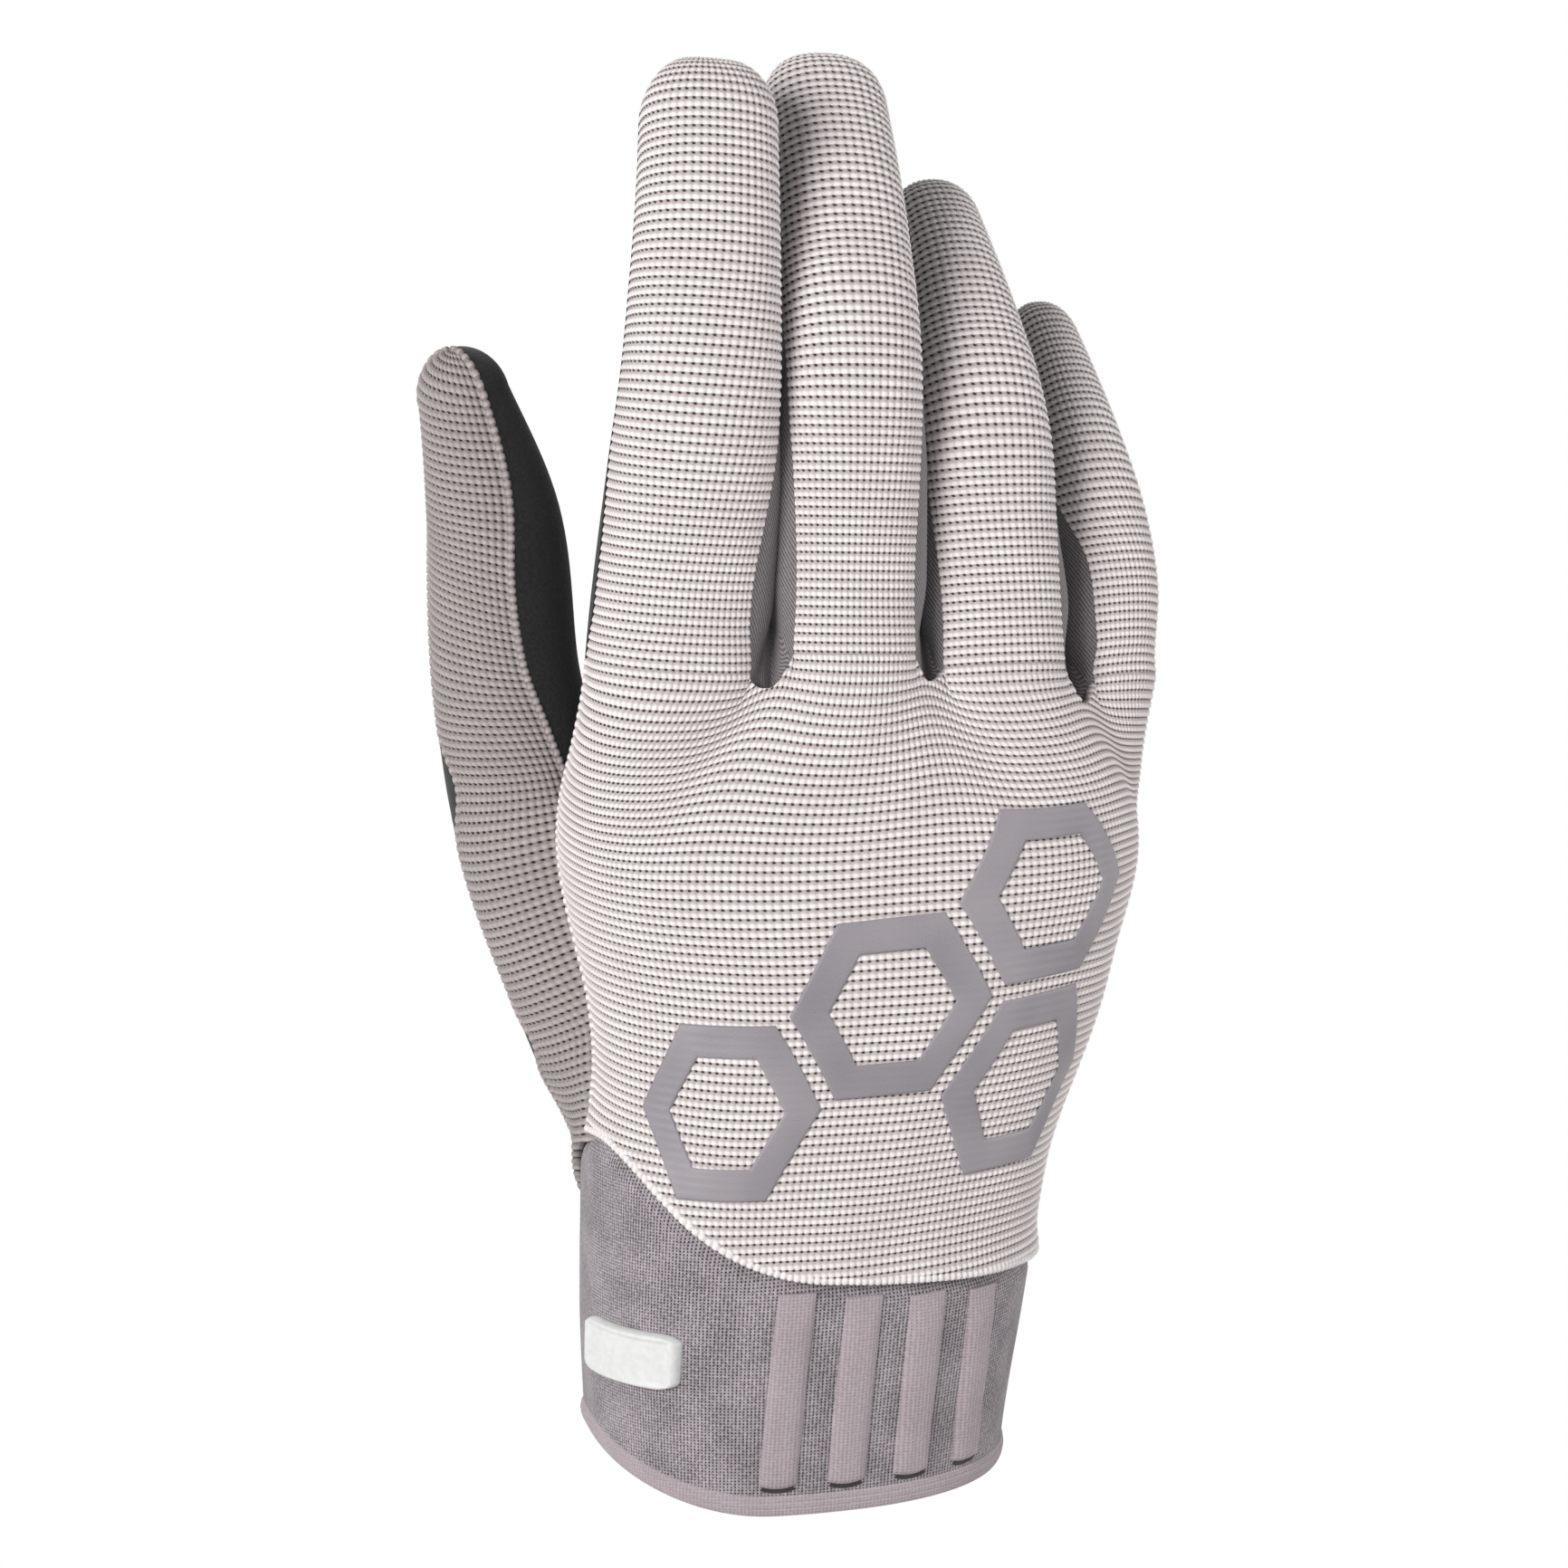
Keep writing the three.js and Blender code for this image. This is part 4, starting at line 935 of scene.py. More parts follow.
def thumb_line():
    """Even samples of the thumb's line: knot numbers, points and lengths."""
    before = 2 * THUMB_LINE[0] - THUMB_LINE[1]
    after = 2 * THUMB_LINE[-1] - THUMB_LINE[-2]
    knots = np.concatenate([[before], THUMB_LINE, [after]])
    knot = np.linspace(0, len(THUMB_LINE) - 1, THUMB_SAMPLES)
    start = np.minimum(knot.astype(int), len(THUMB_LINE) - 2)
    t = (knot - start)[:, None]
    p0, p1, p2, p3 = (knots[start + k] for k in range(4))
    d0, d1, d2 = (np.sqrt(np.linalg.norm(b - a, axis=1))[:, None] for a, b in ((p0, p1), (p1, p2), (p2, p3)))
    t1 = ((p1 - p0) / d0 - (p2 - p0) / (d0 + d1) + (p2 - p1) / d1) * d1
    t2 = ((p2 - p1) / d1 - (p3 - p1) / (d1 + d2) + (p3 - p2) / d2) * d1
    points = curve_between(p1, p2, t1, t2, t)
    run = np.concatenate([[0], np.cumsum(np.linalg.norm(np.diff(points, axis=0), axis=1))])
    return knot, points, run


thumb_knot, thumb_points, thumb_run = thumb_line()
thumb_length = thumb_run[-1]
thumb_tangents = np.gradient(thumb_points, thumb_run, axis=0)


def thumb_frame(share):
    """At shares of the thumb's length: its middle, three directions and the knot number."""
    run = np.clip(share, 0, 1) * thumb_length

    def pick(values):
        return np.stack([np.interp(run, thumb_run, values[:, k]) for k in range(3)], -1)

    along = unit(pick(thumb_tangents))
    outward = np.array([math.sin(THUMB_BACK_TURN), -math.cos(THUMB_BACK_TURN), 0])
    side = unit(np.cross(along, outward))
    return pick(thumb_points), along, side, np.cross(side, along), np.interp(run, thumb_run, thumb_knot)


def thumb_point(place, angle, inset):
    """A point on the thumb: place 0 to 1 is the tube and 1 to 2 its rounded tip."""
    place, angle = np.broadcast_arrays(np.asarray(place, float), np.asarray(angle, float))
    straight = 1 - THUMB_CAP / thumb_length
    turn = math.pi / 2 * np.clip(place - 1, 0, 1)
    share = straight * np.minimum(place, 1) + (THUMB_CAP - inset) / thumb_length * np.sin(turn)
    point, _, side, back, _ = thumb_frame(share)
    knot = thumb_frame(np.minimum(share, straight))[4]
    width = smooth_value(THUMB_HALF_WIDTH, knot) - inset
    depth = smooth_value(THUMB_HALF_DEPTH, knot) - inset
    x, y = rounded_unit(angle, THUMB_SQUARENESS)
    shrink = np.cos(turn)
    across = (x * width * (THUMB_TIP_FLATNESS + (1 - THUMB_TIP_FLATNESS) * shrink))[..., None]
    return settle(point + side * across + back * (y * depth * shrink)[..., None])


def settle(points):
    """Brings the thumb's root on to the hand where it is sewn to the cuff."""
    section = np.stack(hand_section(points[..., 2], -SETTLE_PROUD), -1)
    middle, half = section[..., :2], section[..., 2:]
    offset = points[..., :2] - middle
    reach = (np.abs(offset / half) ** HAND_SQUARENESS).sum(-1) ** (1 / HAND_SQUARENESS)
    angle = hand_angle(points)
    near = 1 - smooth_step(points[..., 2] - cuff_seam(angle), 0, THUMB_SETTLE)
    thumbward = hill(angle, SETTLE_START, SETTLE_END)
    move = (1 / np.maximum(reach, SETTLE_LEAST_REACH) - 1) * near * np.where(reach > 1, 1, thumbward)
    return np.concatenate([middle + offset * (1 + move)[..., None], points[..., 2:]], -1)


def thumb_reach(points):
    """How far out of the thumb's tube points lie: under 1 is inside it."""
    middle, along, side, back, knot = thumb_frame(THUMB_TUBE_SHARES)
    offset = points[..., None, :] - middle
    nearest = np.abs((offset * along).sum(-1)).argmin(-1)
    away = np.take_along_axis(offset, nearest[..., None, None], -2)[..., 0, :]
    x = (away * side[nearest]).sum(-1) / smooth_value(THUMB_HALF_WIDTH, knot)[nearest]
    y = (away * back[nearest]).sum(-1) / smooth_value(THUMB_HALF_DEPTH, knot)[nearest]
    return (np.abs(x) ** THUMB_SQUARENESS + np.abs(y) ** THUMB_SQUARENESS) ** (1 / THUMB_SQUARENESS)


def thumb_seam_angles(heights):
    """Where the back of the hand meets the thumb, as an angle round the hand at each height."""
    angles = np.linspace(web_plain[0], SEAM_SEARCH_END, SEAM_SEARCH_STEPS)
    grid_angle, grid_z = np.meshgrid(angles, heights)
    inside = thumb_reach(hand_point(grid_angle, grid_z, 0)) < 1
    reach = np.where(inside, grid_angle, web_plain[0]).max(1)
    window = np.hanning(SEAM_EASE)
    padded = np.pad(reach, SEAM_EASE // 2, mode="edge")
    reach = np.convolve(padded, window / window.sum(), mode="valid")
    low = 1 - smooth_step(heights, *CORNER_FADE)
    return reach + (np.maximum(reach, CORNER_ANGLE) - reach) * low


seam_heights = np.linspace(30, 130, 101)
seam_angles = thumb_seam_angles(seam_heights)


def thumb_side(rib):
    """The first stitch of a rib that isn't under the thumb; tilt and stitch settle in a few rounds."""
    flat_z = HAND_ROW_START + RIB_PITCH * rib
    stitch = 0 * flat_z
    for _ in range(TILT_ROUNDS):
        angle = np.interp(flat_z + row_tilt(stitch, flat_z), seam_heights, seam_angles)
        stitch = np.interp(angle, web_plain, web_stitches)
    return stitch


def cuff_side(stitch):
    """The first rib of a stitch column above the cuff's seam."""
    seam = cuff_seam(np.interp(stitch, web_stitches, web_plain))
    return (seam + SEAM_CLEAR - row_tilt(stitch, seam) - HAND_ROW_START) / RIB_PITCH


def seam_puff(stitch, rib):
    """How far the knit stands up beside the cuff's seam."""
    return SEAM_ROLL * bell((rib - cuff_side(stitch)) * RIB_PITCH, SEAM_ROLL_REACH)


top_ribs = np.linspace(HAND_RIBS - WEB_SEARCH_RIBS, HAND_RIBS, WEB_SEARCH_STEPS)
top_heights = hand_back_surface(*np.meshgrid(web_stitches, top_ribs, indexing="ij"))[..., 2]
web_limit = np.array([np.interp(edge, heights, top_ribs) for edge, heights in zip(web_edge, top_heights)])


def web_side(stitch):
    """The last rib of a stitch column below the gaps between the fingers."""
    return np.interp(stitch, web_stitches, web_limit)


hand_stitch, hand_rib = np.meshgrid(web_stitches, spread(HAND_RIBS, RIB_ROWS))
hand_stitch = np.maximum(hand_stitch, thumb_side(np.maximum(hand_rib, cuff_side(hand_stitch))))
hand_rib = np.minimum(np.maximum(hand_rib, cuff_side(hand_stitch)), web_side(hand_stitch))
hand_parts = [knit_panel(hand_back_surface, hand_stitch, hand_rib, seam_puff(hand_stitch, hand_rib))]

# Its rolled edges: up the thumb's side, up the outer side and over the cuff
for column in (0, -1):
    side_rib = np.unique(hand_rib[:, column])
    side_stitch = np.interp(side_rib, hand_rib[:, column], hand_stitch[:, column])
    hand_parts.append(bead_cord(
        hand_back_surface, side_stitch, side_rib, EDGE_BEAD, RIB_HEIGHT / 2, along_ribs=True,
    ))
foot_stitch = np.unique(hand_stitch[0])
hand_parts.append(bead_cord(
    hand_back_surface, foot_stitch, cuff_side(foot_stitch), CUFF_EDGE_BEAD, SEAM_ROLL, along_ribs=False,
))
hand_back = make_piece("hand_back_knit", merge(*hand_parts), rib_knit, weld=True)
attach(hand_back, "hand")
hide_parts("hand_back")


# Printed film
# A thin satin grey film pressed on to the knit: plain hexagon outlines across the back of the hand.
# It bridges the valleys, so the ribs only just show through it.

HEX_RADIUS = 15.5
HEX_STROKE = 5.0
HEX_GAP = 2.4
HEX_TILT = math.radians(32)
HEX_CENTRE_STITCH = 62.0
HEX_CENTRE_RIB = 34.0
HEX_STITCH_WIDTH = 1.2
FILM_THICKNESS = 0.4
FILM_SEAT = 0.04
FILM_LIFT = 0.08
FILM_WAVE = 0.06
FILM_EDGE = 0.1
FILM_SIDE_STEPS = 26
FILM_ROWS = 13
HEX_STEP = HEX_RADIUS * math.sqrt(3) + HEX_GAP
HEX_PLACES = [(0, 0), (1, HEX_TILT), (-1, HEX_TILT), (1, HEX_TILT - math.radians(60))]


def film_material():
    material, shader, start = new_material("satin_film")
    flat, _, _ = cloth_place(start)
    grain = start.noise(flat, scale=9.0, detail=3.0)
    drift = start.noise(flat, scale=0.1, detail=1.0)
    tint = (grain * 0.6 + drift * 0.4).rise(0.3, 0.7).tint(colour(132, 127, 132), colour(158, 152, 157))
    finish(shader, start, tint, grain, strength=0.2, depth=0.0001, roughness=0.5)
    return material


def hex_film(across, up):
    """One hexagon outline of film, centred at distances across and up the cloth."""
    corner = HEX_TILT + math.pi / 6 - np.arange(7) * math.pi / 3
    corners = np.stack([np.cos(corner), np.sin(corner)], -1)
    share = np.linspace(0, 1, FILM_SIDE_STEPS, endpoint=False)[:, None]
    loop = np.concatenate([a + (b - a) * share for a, b in zip(corners, corners[1:])])
    inner = HEX_RADIUS - HEX_STROKE / math.cos(math.pi / 6)
    row = np.linspace(0, 1, FILM_ROWS)[:, None]
    reach = inner + (HEX_RADIUS - inner) * row
    stitch = HEX_CENTRE_STITCH + (across + loop[:, 0] * reach) / HEX_STITCH_WIDTH
    rib = HEX_CENTRE_RIB + (up + loop[:, 1] * reach) / RIB_PITCH
    base = hand_back_surface(stitch, rib)
    normal = surface_normals(hand_back_surface, stitch, rib, KNIT_STEP)
    edge = smooth_step(np.minimum(row, 1 - row), 0, FILM_EDGE)
    wave = FILM_WAVE * np.cos(FULL_TURN * (rib - 0.5))
    lift = RIB_HEIGHT + FILM_SEAT + (FILM_LIFT + wave) * edge + seam_puff(stitch, rib)
    top = base + normal * lift[..., None]
    return sleeve(top, top - normal * FILM_THICKNESS, np.stack([stitch, rib], -1))


hexes = [hex_film(HEX_STEP * d * math.cos(a), HEX_STEP * d * math.sin(a)) for d, a in HEX_PLACES]
film = make_piece("hand_film", merge(*hexes), film_material())
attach(film, "hand")


# Knit backs of the fingers
# The same knit carried on over each finger to the tip, its ribs running round the finger.
# Each finger's cloth is in two lengths that meet in a valley between ribs, where it doesn't bend.

BASE_SHARE = 0.55
KNUCKLE_BEND_START = -2.0
TIP_EXTRA = 3.0


def finger_ribs(finger):
    """Numbers of ribs on a finger: up to the change of cloth length, and in all."""
    whole = round((finger["length"] + TIP_EXTRA) / RIB_PITCH)
    return round(BASE_SHARE * finger["mid"] / RIB_PITCH), whole


def rib_place(rib, straight, whole):
    """Place along a finger of a rib count, with the tip's ribs closing up over the round."""
    tube = rib * RIB_PITCH / straight
    tip_ribs = whole - straight / RIB_PITCH
    return np.where(tube < 1, tube, 1 + (rib - straight / RIB_PITCH) / tip_ribs)


def finger_place(finger, rib):
    return rib_place(rib, finger["length"] - TIP_CAP, finger_ribs(finger)[1])


def change_place(finger):
    """Where along a finger its cloth changes from the base's length to the tip's."""
    return float(finger_place(finger, finger_ribs(finger)[0]))


def finger_axis_point(finger, distance):
    point, _, _ = finger_frame(finger, np.array([distance], float))
    return Vector(in_frame(point[0]))


def bend_finger(piece, finger, part):
    """Bakes the placement into a finger's cloth; the points where it would turn over the knuckle, or over the
    middle knuckle, are found but not used.
    """
    if part == "base":
        start = finger_axis_point(finger, KNUCKLE_BEND_START)
        end = finger_axis_point(finger, BASE_SHARE * finger["mid"])
        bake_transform(piece)
    else:
        reach = BEND_SPAN / 2
        start = finger_axis_point(finger, finger["mid"] - reach)
        end = finger_axis_point(finger, finger["mid"] + reach)
        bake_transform(piece)


def finger_back_surface(finger):
    """The back of a finger, by stitch and rib counts."""
    def surface(stitch, rib):
        place = finger_place(finger, rib)
        left, right, _, _ = finger_seams(finger, place)
        angle = left + (right - left) * stitch / finger["stitches"]
        return finger_point(finger, np.minimum(place, TIP_LAST), angle, RIB_HEIGHT)
    return surface


for finger in FINGERS:
    change, whole = finger_ribs(finger)
    for part, low, high in (("base", 0, change), ("tip", change, whole)):
        columns = spread(finger["stitches"], STITCH_COLUMNS)
        stitch, rib = np.meshgrid(columns, low + spread(high - low, RIB_ROWS))
        panel = knit_panel(finger_back_surface(finger), stitch, rib)
        back = make_piece(f"{finger['name']}_knit_{part}", panel, rib_knit)
        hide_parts(f"{finger['name']}_back_{part}")
        bend_finger(back, finger, part)


# Knit back of the thumb
# A separate panel of the same knit, from the corner of the cuff to the tip of the thumb, in darker colours as
# painted shade.
# It is let in along the side of the hand and sewn to the suede on its other edge.

THUMB_LEFT_SEAM = math.radians(-60)
THUMB_RIGHT_SEAM = np.radians([60, 64, 57, 45, 41, 51, 56])
THUMB_RIGHT_START = 0.4
THUMB_RIGHT_STEP = 0.1
THUMB_SEAM_STRAIGHT = 0.75
THUMB_EDGE_BEAD = 0.62
THUMB_LAP = 1.0
THUMB_SLANT = 0.245
THUMB_LEVEL_RIBS = 20
THUMB_TIP_RIBS = 14
THUMB_TIP_EXTRA = 2.0
THUMB_ROOT_SHORT = 2
THUMB_KNUCKLE = 0.61
THUMB_CHANGE = 0.705
THUMB_END_KNUCKLE = 0.8
THUMB_BEND_LEAD = 0.015
THUMB_END_REACH = 0.07
THUMB_STITCHES = 18
THUMB_FIRST_PLACE = 0.02
THUMB_FOOT_WRAP = math.radians(22)
THUMB_FOOT = (0.05, 0.2)
THUMB_SEAM_ROLLS = ((0.272, 0.04, math.radians(25)), (0.56, 0.057, math.radians(32)))
thumb_straight = thumb_length - THUMB_CAP
# Painted shade: the hand's knit in darker colours, with darker gaps, for the shade the thumb lies in
thumb_shaded_knit = knit_material(
    "thumb_shaded_rib_knit", colour(188, 179, 177), colour(172, 164, 162), colour(150, 141, 139), colour(36, 32, 31),
    dots=1.0, line=0.12,
)


def thumb_seams(place):
    """Seam angles round the thumb: the suede's edge on the left, and the edge towards the hand."""
    closing = smooth_step(place, THUMB_SEAM_STRAIGHT, 1)
    knots = len(THUMB_RIGHT_SEAM) - 1
    right = smooth_value(THUMB_RIGHT_SEAM, np.clip((place - THUMB_RIGHT_START) / THUMB_RIGHT_STEP, 0, knots))
    left = THUMB_LEFT_SEAM - THUMB_FOOT_WRAP * (1 - smooth_step(place, *THUMB_FOOT))
    for middle, spread_out, turn in THUMB_SEAM_ROLLS:
        left = left + turn * bell(place - middle, spread_out)
    return left + (-math.pi / 2 - left) * closing, right


thumb_first_rib = round(THUMB_FIRST_PLACE * thumb_straight / RIB_PITCH)
thumb_change_rib = round(THUMB_CHANGE * thumb_straight / RIB_PITCH)
thumb_root_rib = round(THUMB_KNUCKLE * thumb_straight / RIB_PITCH) - THUMB_ROOT_SHORT
thumb_ribs = round((thumb_length + THUMB_TIP_EXTRA) / RIB_PITCH)


def thumb_place(rib):
    return rib_place(rib, thumb_straight, thumb_ribs)


def thumb_slant(stitch, rib):
    """How many ribs lower a stitch lies than the middle of its row: the rows slant more towards the tip."""
    slanted = smooth_step(rib, thumb_first_rib + THUMB_LEVEL_RIBS, thumb_ribs - THUMB_TIP_RIBS)
    return THUMB_SLANT * (stitch - THUMB_STITCHES / 2) * slanted


def thumb_back_surface(stitch, rib):
    """The back of the thumb, by stitch and rib counts."""
    place = thumb_place(rib - thumb_slant(stitch, rib))
    left, right = thumb_seams(place)
    angle = left + (right - left) * stitch / THUMB_STITCHES
    return thumb_point(np.minimum(place, TIP_LAST), angle, RIB_HEIGHT)


def above_cuff(surface, across, along):
    """For each column, the lowest place along it: it laps a little over the cuff's seam."""
    points = surface(across, along)
    clear = points[..., 2] - cuff_seam(hand_angle(points)) + THUMB_LAP
    low = []
    for column in range(points.shape[1]):
        below = np.nonzero(clear[:, column] < 0)[0]
        last = below[-1] if len(below) else 0
        after = min(last + 1, len(along) - 1)
        drop = clear[after, column] - clear[last, column]
        share = -clear[last, column] / drop if len(below) and drop > 0 else 0.0
        low.append(along[last, column] + (along[after, column] - along[last, column]) * min(max(share, 0), 1))
    return np.array(low)


def thumb_axis_point(place):
    point = thumb_frame(np.array([place * thumb_straight / thumb_length]))[0]
    return Vector(in_frame(point[0]))


def bend_thumb(piece, part):
    """Bakes the placement into the thumb's cloth; the points where it would turn over its knuckle, or over
    its end knuckle, are found but not used.
    """
    if part == "base":
        start = thumb_axis_point(THUMB_KNUCKLE - THUMB_BEND_LEAD)
        end = thumb_axis_point(THUMB_CHANGE - THUMB_BEND_LEAD)
        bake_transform(piece)
    else:
        start = thumb_axis_point(THUMB_END_KNUCKLE - THUMB_END_REACH)
        end = thumb_axis_point(THUMB_END_KNUCKLE + THUMB_END_REACH)
        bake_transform(piece)


thumb_columns = spread(THUMB_STITCHES, STITCH_COLUMNS)
for part, low, high in (
    ("root", thumb_first_rib, thumb_root_rib),
    ("base", thumb_root_rib, thumb_change_rib),
    ("tip", thumb_change_rib, thumb_ribs + math.ceil(THUMB_SLANT * THUMB_STITCHES / 2)),
):
    stitch, rib = np.meshgrid(thumb_columns, low + spread(high - low, RIB_ROWS))
    if part == "root":
        rib = np.maximum(rib, above_cuff(thumb_back_surface, stitch, rib))
    rib = np.minimum(rib, thumb_ribs + thumb_slant(stitch, thumb_ribs))
    thumb_parts = [knit_panel(thumb_back_surface, stitch, rib)]
    for column in (0, -1):
        edge_rib, pick = np.unique(rib[:, column], return_index=True)
        edge_stitch = stitch[pick, column]
        thumb_parts.append(bead_cord(
            thumb_back_surface, edge_stitch, edge_rib, THUMB_EDGE_BEAD, RIB_HEIGHT / 2, along_ribs=True,
        ))
    back = make_piece(f"thumb_shaded_knit_{part}", merge(*thumb_parts), thumb_shaded_knit, weld=True)
    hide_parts(f"thumb_back_{part}")
    if part == "root":
        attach(back, "hand")
    else:
        bend_thumb(back, part)


# Suede palm
# One piece of black synthetic suede over the palm, sewn to the knit down both sides of the hand.
# Each finger's palm side and the thumb's are cut from the same suede.

SUEDE_WALL = 1.2
SUEDE_DARK = colour(25, 25, 27)
SUEDE_LIGHT = colour(42, 42, 44)
SUEDE_COLUMNS = 30
SUEDE_BASE_ROWS = 20
SUEDE_TUBE_ROWS = 48
SUEDE_ROUND_ROWS = 16
SUEDE_TIP_LAST = 1.99
SUEDE_LEAST_STEP = 0.005
THUMB_SUEDE_COLUMNS = 40
THUMB_ROOT_ROWS = 40
THUMB_BASE_ROWS = 12
THUMB_TIP_ROWS = 24
PANEL_STEP = 1e-3
PALM_ROOT_COLUMNS = 25
PALM_GAP_COLUMNS = 8
PALM_ROWS = 70
PALM_PUFF = 0.5
PALM_PUFF_HEIGHT = 2.5
PALM_TUCK = 2.0
PALM_TUCK_HEIGHT = 9.0
PALM_TUCK_TURN = math.radians(8)


def suede_material():
    material, shader, start = new_material("black_suede")
    place = start.node("ShaderNodeTexCoord", {}, {}, output=3)
    nap = start.noise(place, scale=1900.0, detail=3.0, dimensions="3D")
    brush = start.noise(place, scale=70.0, detail=3.0, dimensions="3D")
    tint = (nap * 0.75 + brush * 0.25).rise(0.36, 0.68).tint(SUEDE_DARK, SUEDE_LIGHT)
    finish_cloth(shader, start, tint, nap, strength=0.5, depth=0.0003, roughness=0.95, sheen=0.16)
    return material


suede = suede_material()


def plain_panel(surface, across, along, wall):
    """A closed panel of plain cloth on a surface, at a grid of places in the surface's own steps."""
    base = surface(across, along)
    normal = surface_normals(surface, across, along, PANEL_STEP)
    return shell(base, base - normal * wall, cloth_flat(base))


def cloth_flat(base):
    """Distances in millimetres across and along a grid of points."""
    across = np.linalg.norm(np.diff(base, axis=1), axis=-1)
    along = np.linalg.norm(np.diff(base, axis=0), axis=-1)
    across = np.concatenate([np.zeros((len(base), 1)), np.cumsum(across, 1)], 1)
    along = np.concatenate([np.zeros((1, base.shape[1])), np.cumsum(along, 0)], 0)
    middle = across[:, across.shape[1] // 2][:, None]
    return np.stack([across - middle, along], -1)


def palm_columns():
    """The palm's top edge round the finger roots, from the little finger to the index."""
    roots = []
    for finger in reversed(FINGERS):
        k = FINGERS.index(finger)
        _, _, left, right = finger_seams(finger, 0)
        angles = np.linspace(right, left + FULL_TURN, PALM_ROOT_COLUMNS)
        roots.append(finger_point(finger, 0, angles, 0))
        if k == 0:
            break
        before = FINGERS[k - 1]
        start = roots[-1][-1]
        end = finger_point(before, 0, finger_seams(before, 0)[3], 0)
        share = np.linspace(0, 1, PALM_GAP_COLUMNS)[1:-1, None]
        dip = start + (end - start) * share
        dip[:, 2:] -= CROTCH_DIP * 4 * share * (1 - share)
        roots.append(dip)
    return np.concatenate(roots)


palm_roots = palm_columns()
palm_ends = hand_angle(palm_roots[[0, -1]]) % FULL_TURN
palm_plain = np.linspace(*palm_ends, len(palm_roots))
palm_shift = palm_roots - hand_point(palm_plain, palm_roots[:, 2], 0)
palm_numbers = np.arange(len(palm_roots), dtype=float)
thumb_foot_seam = thumb_seams(np.array(THUMB_FIRST_PLACE))[0]
thumb_foot_angle = hand_angle(thumb_point(np.array(THUMB_FIRST_PLACE), thumb_foot_seam, 0)) % FULL_TURN


def palm_surface(column, share):
    """The palm, from the cuff's seam to the finger roots; its foot puffs out, or tucks in under the thumb."""
    plain = np.interp(column, palm_numbers, palm_plain)
    root_z = np.interp(column, palm_numbers, palm_roots[:, 2])
    floor = cuff_seam(plain)
    z = floor + (root_z - floor) * share
    knuckle = smooth_step(z, root_z - KNUCKLE_REACH, root_z) ** KNUCKLE_FADE
    covered = smooth_step(plain, thumb_foot_angle - PALM_TUCK_TURN, thumb_foot_angle)
    puff = PALM_PUFF * (1 - covered) * bell(z - floor, PALM_PUFF_HEIGHT)
    tuck = PALM_TUCK * covered * (1 - smooth_step(z, floor, floor + PALM_TUCK_HEIGHT))
    point = hand_point(plain, z, tuck - puff)
    point[..., 0] += knuckle * np.interp(column, palm_numbers, palm_shift[:, 0])
    point[..., 1] += knuckle * np.interp(column, palm_numbers, palm_shift[:, 1])
    return point


palm_part = plain_panel(palm_surface, *np.meshgrid(palm_numbers, np.linspace(0, 1, PALM_ROWS)), SUEDE_WALL)
palm = make_piece("palm_suede", palm_part, suede, crisp=True)
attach(palm, "hand")
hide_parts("palm")


def finger_palm_surface(finger):
    """The palm side of a finger, from its outer seam round to the seam on the thumb's side."""
    def surface(share, place):
        _, _, left, right = finger_seams(finger, place)
        return finger_point(finger, place, right + (left + FULL_TURN - right) * share, 0)
    return surface


round_places = np.linspace(1, SUEDE_TIP_LAST, SUEDE_ROUND_ROWS)
tip_places = np.concatenate([np.linspace(0, 1, SUEDE_TUBE_ROWS)[:-1], round_places])
across = np.linspace(0, 1, SUEDE_COLUMNS)
for finger in FINGERS:
    middle = change_place(finger)
    for part, places in (
        ("base", np.linspace(0, middle, SUEDE_BASE_ROWS)),
        ("tip", np.concatenate([[middle], tip_places[tip_places > middle + SUEDE_LEAST_STEP]])),
    ):
        side_part = plain_panel(finger_palm_surface(finger), *np.meshgrid(across, places), SUEDE_WALL)
        side = make_piece(f"{finger['name']}_suede_{part}", side_part, suede, crisp=True)
        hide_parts(f"{finger['name']}_palm_{part}")
        bend_finger(side, finger, part)


def thumb_palm_surface(share, place):
    """The palm side of the thumb, from the seam towards the hand round to the other."""
    left, right = thumb_seams(place)
    return thumb_point(place, right + (left + FULL_TURN - right) * share, 0)


thumb_root_place = float(thumb_place(thumb_root_rib))
thumb_change_place = float(thumb_place(thumb_change_rib))
for part, places in (
    ("root", np.linspace(THUMB_FIRST_PLACE, thumb_root_place, THUMB_ROOT_ROWS)),
    ("base", np.linspace(thumb_root_place, thumb_change_place, THUMB_BASE_ROWS)),
    ("tip", np.concatenate([np.linspace(thumb_change_place, 1, THUMB_TIP_ROWS)[:-1], round_places])),
):
    across, along = np.meshgrid(np.linspace(0, 1, THUMB_SUEDE_COLUMNS), places)
    if part == "root":
        along = np.maximum(along, above_cuff(thumb_palm_surface, across, along))
    side_part = plain_panel(thumb_palm_surface, across, along, SUEDE_WALL)
    side = make_piece(f"thumb_suede_{part}", side_part, suede, weld=part == "root", crisp=True)
    if part == "root":
        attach(side, "hand")
    else:
        bend_thumb(side, part)
    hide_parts(f"thumb_palm_{part}")


# Stretch strips between the fingers
# Narrow strips of fine grey stretch twill that join each finger's back to its palm side.
# A folded strip closes the bottom of each gap between two fingers.

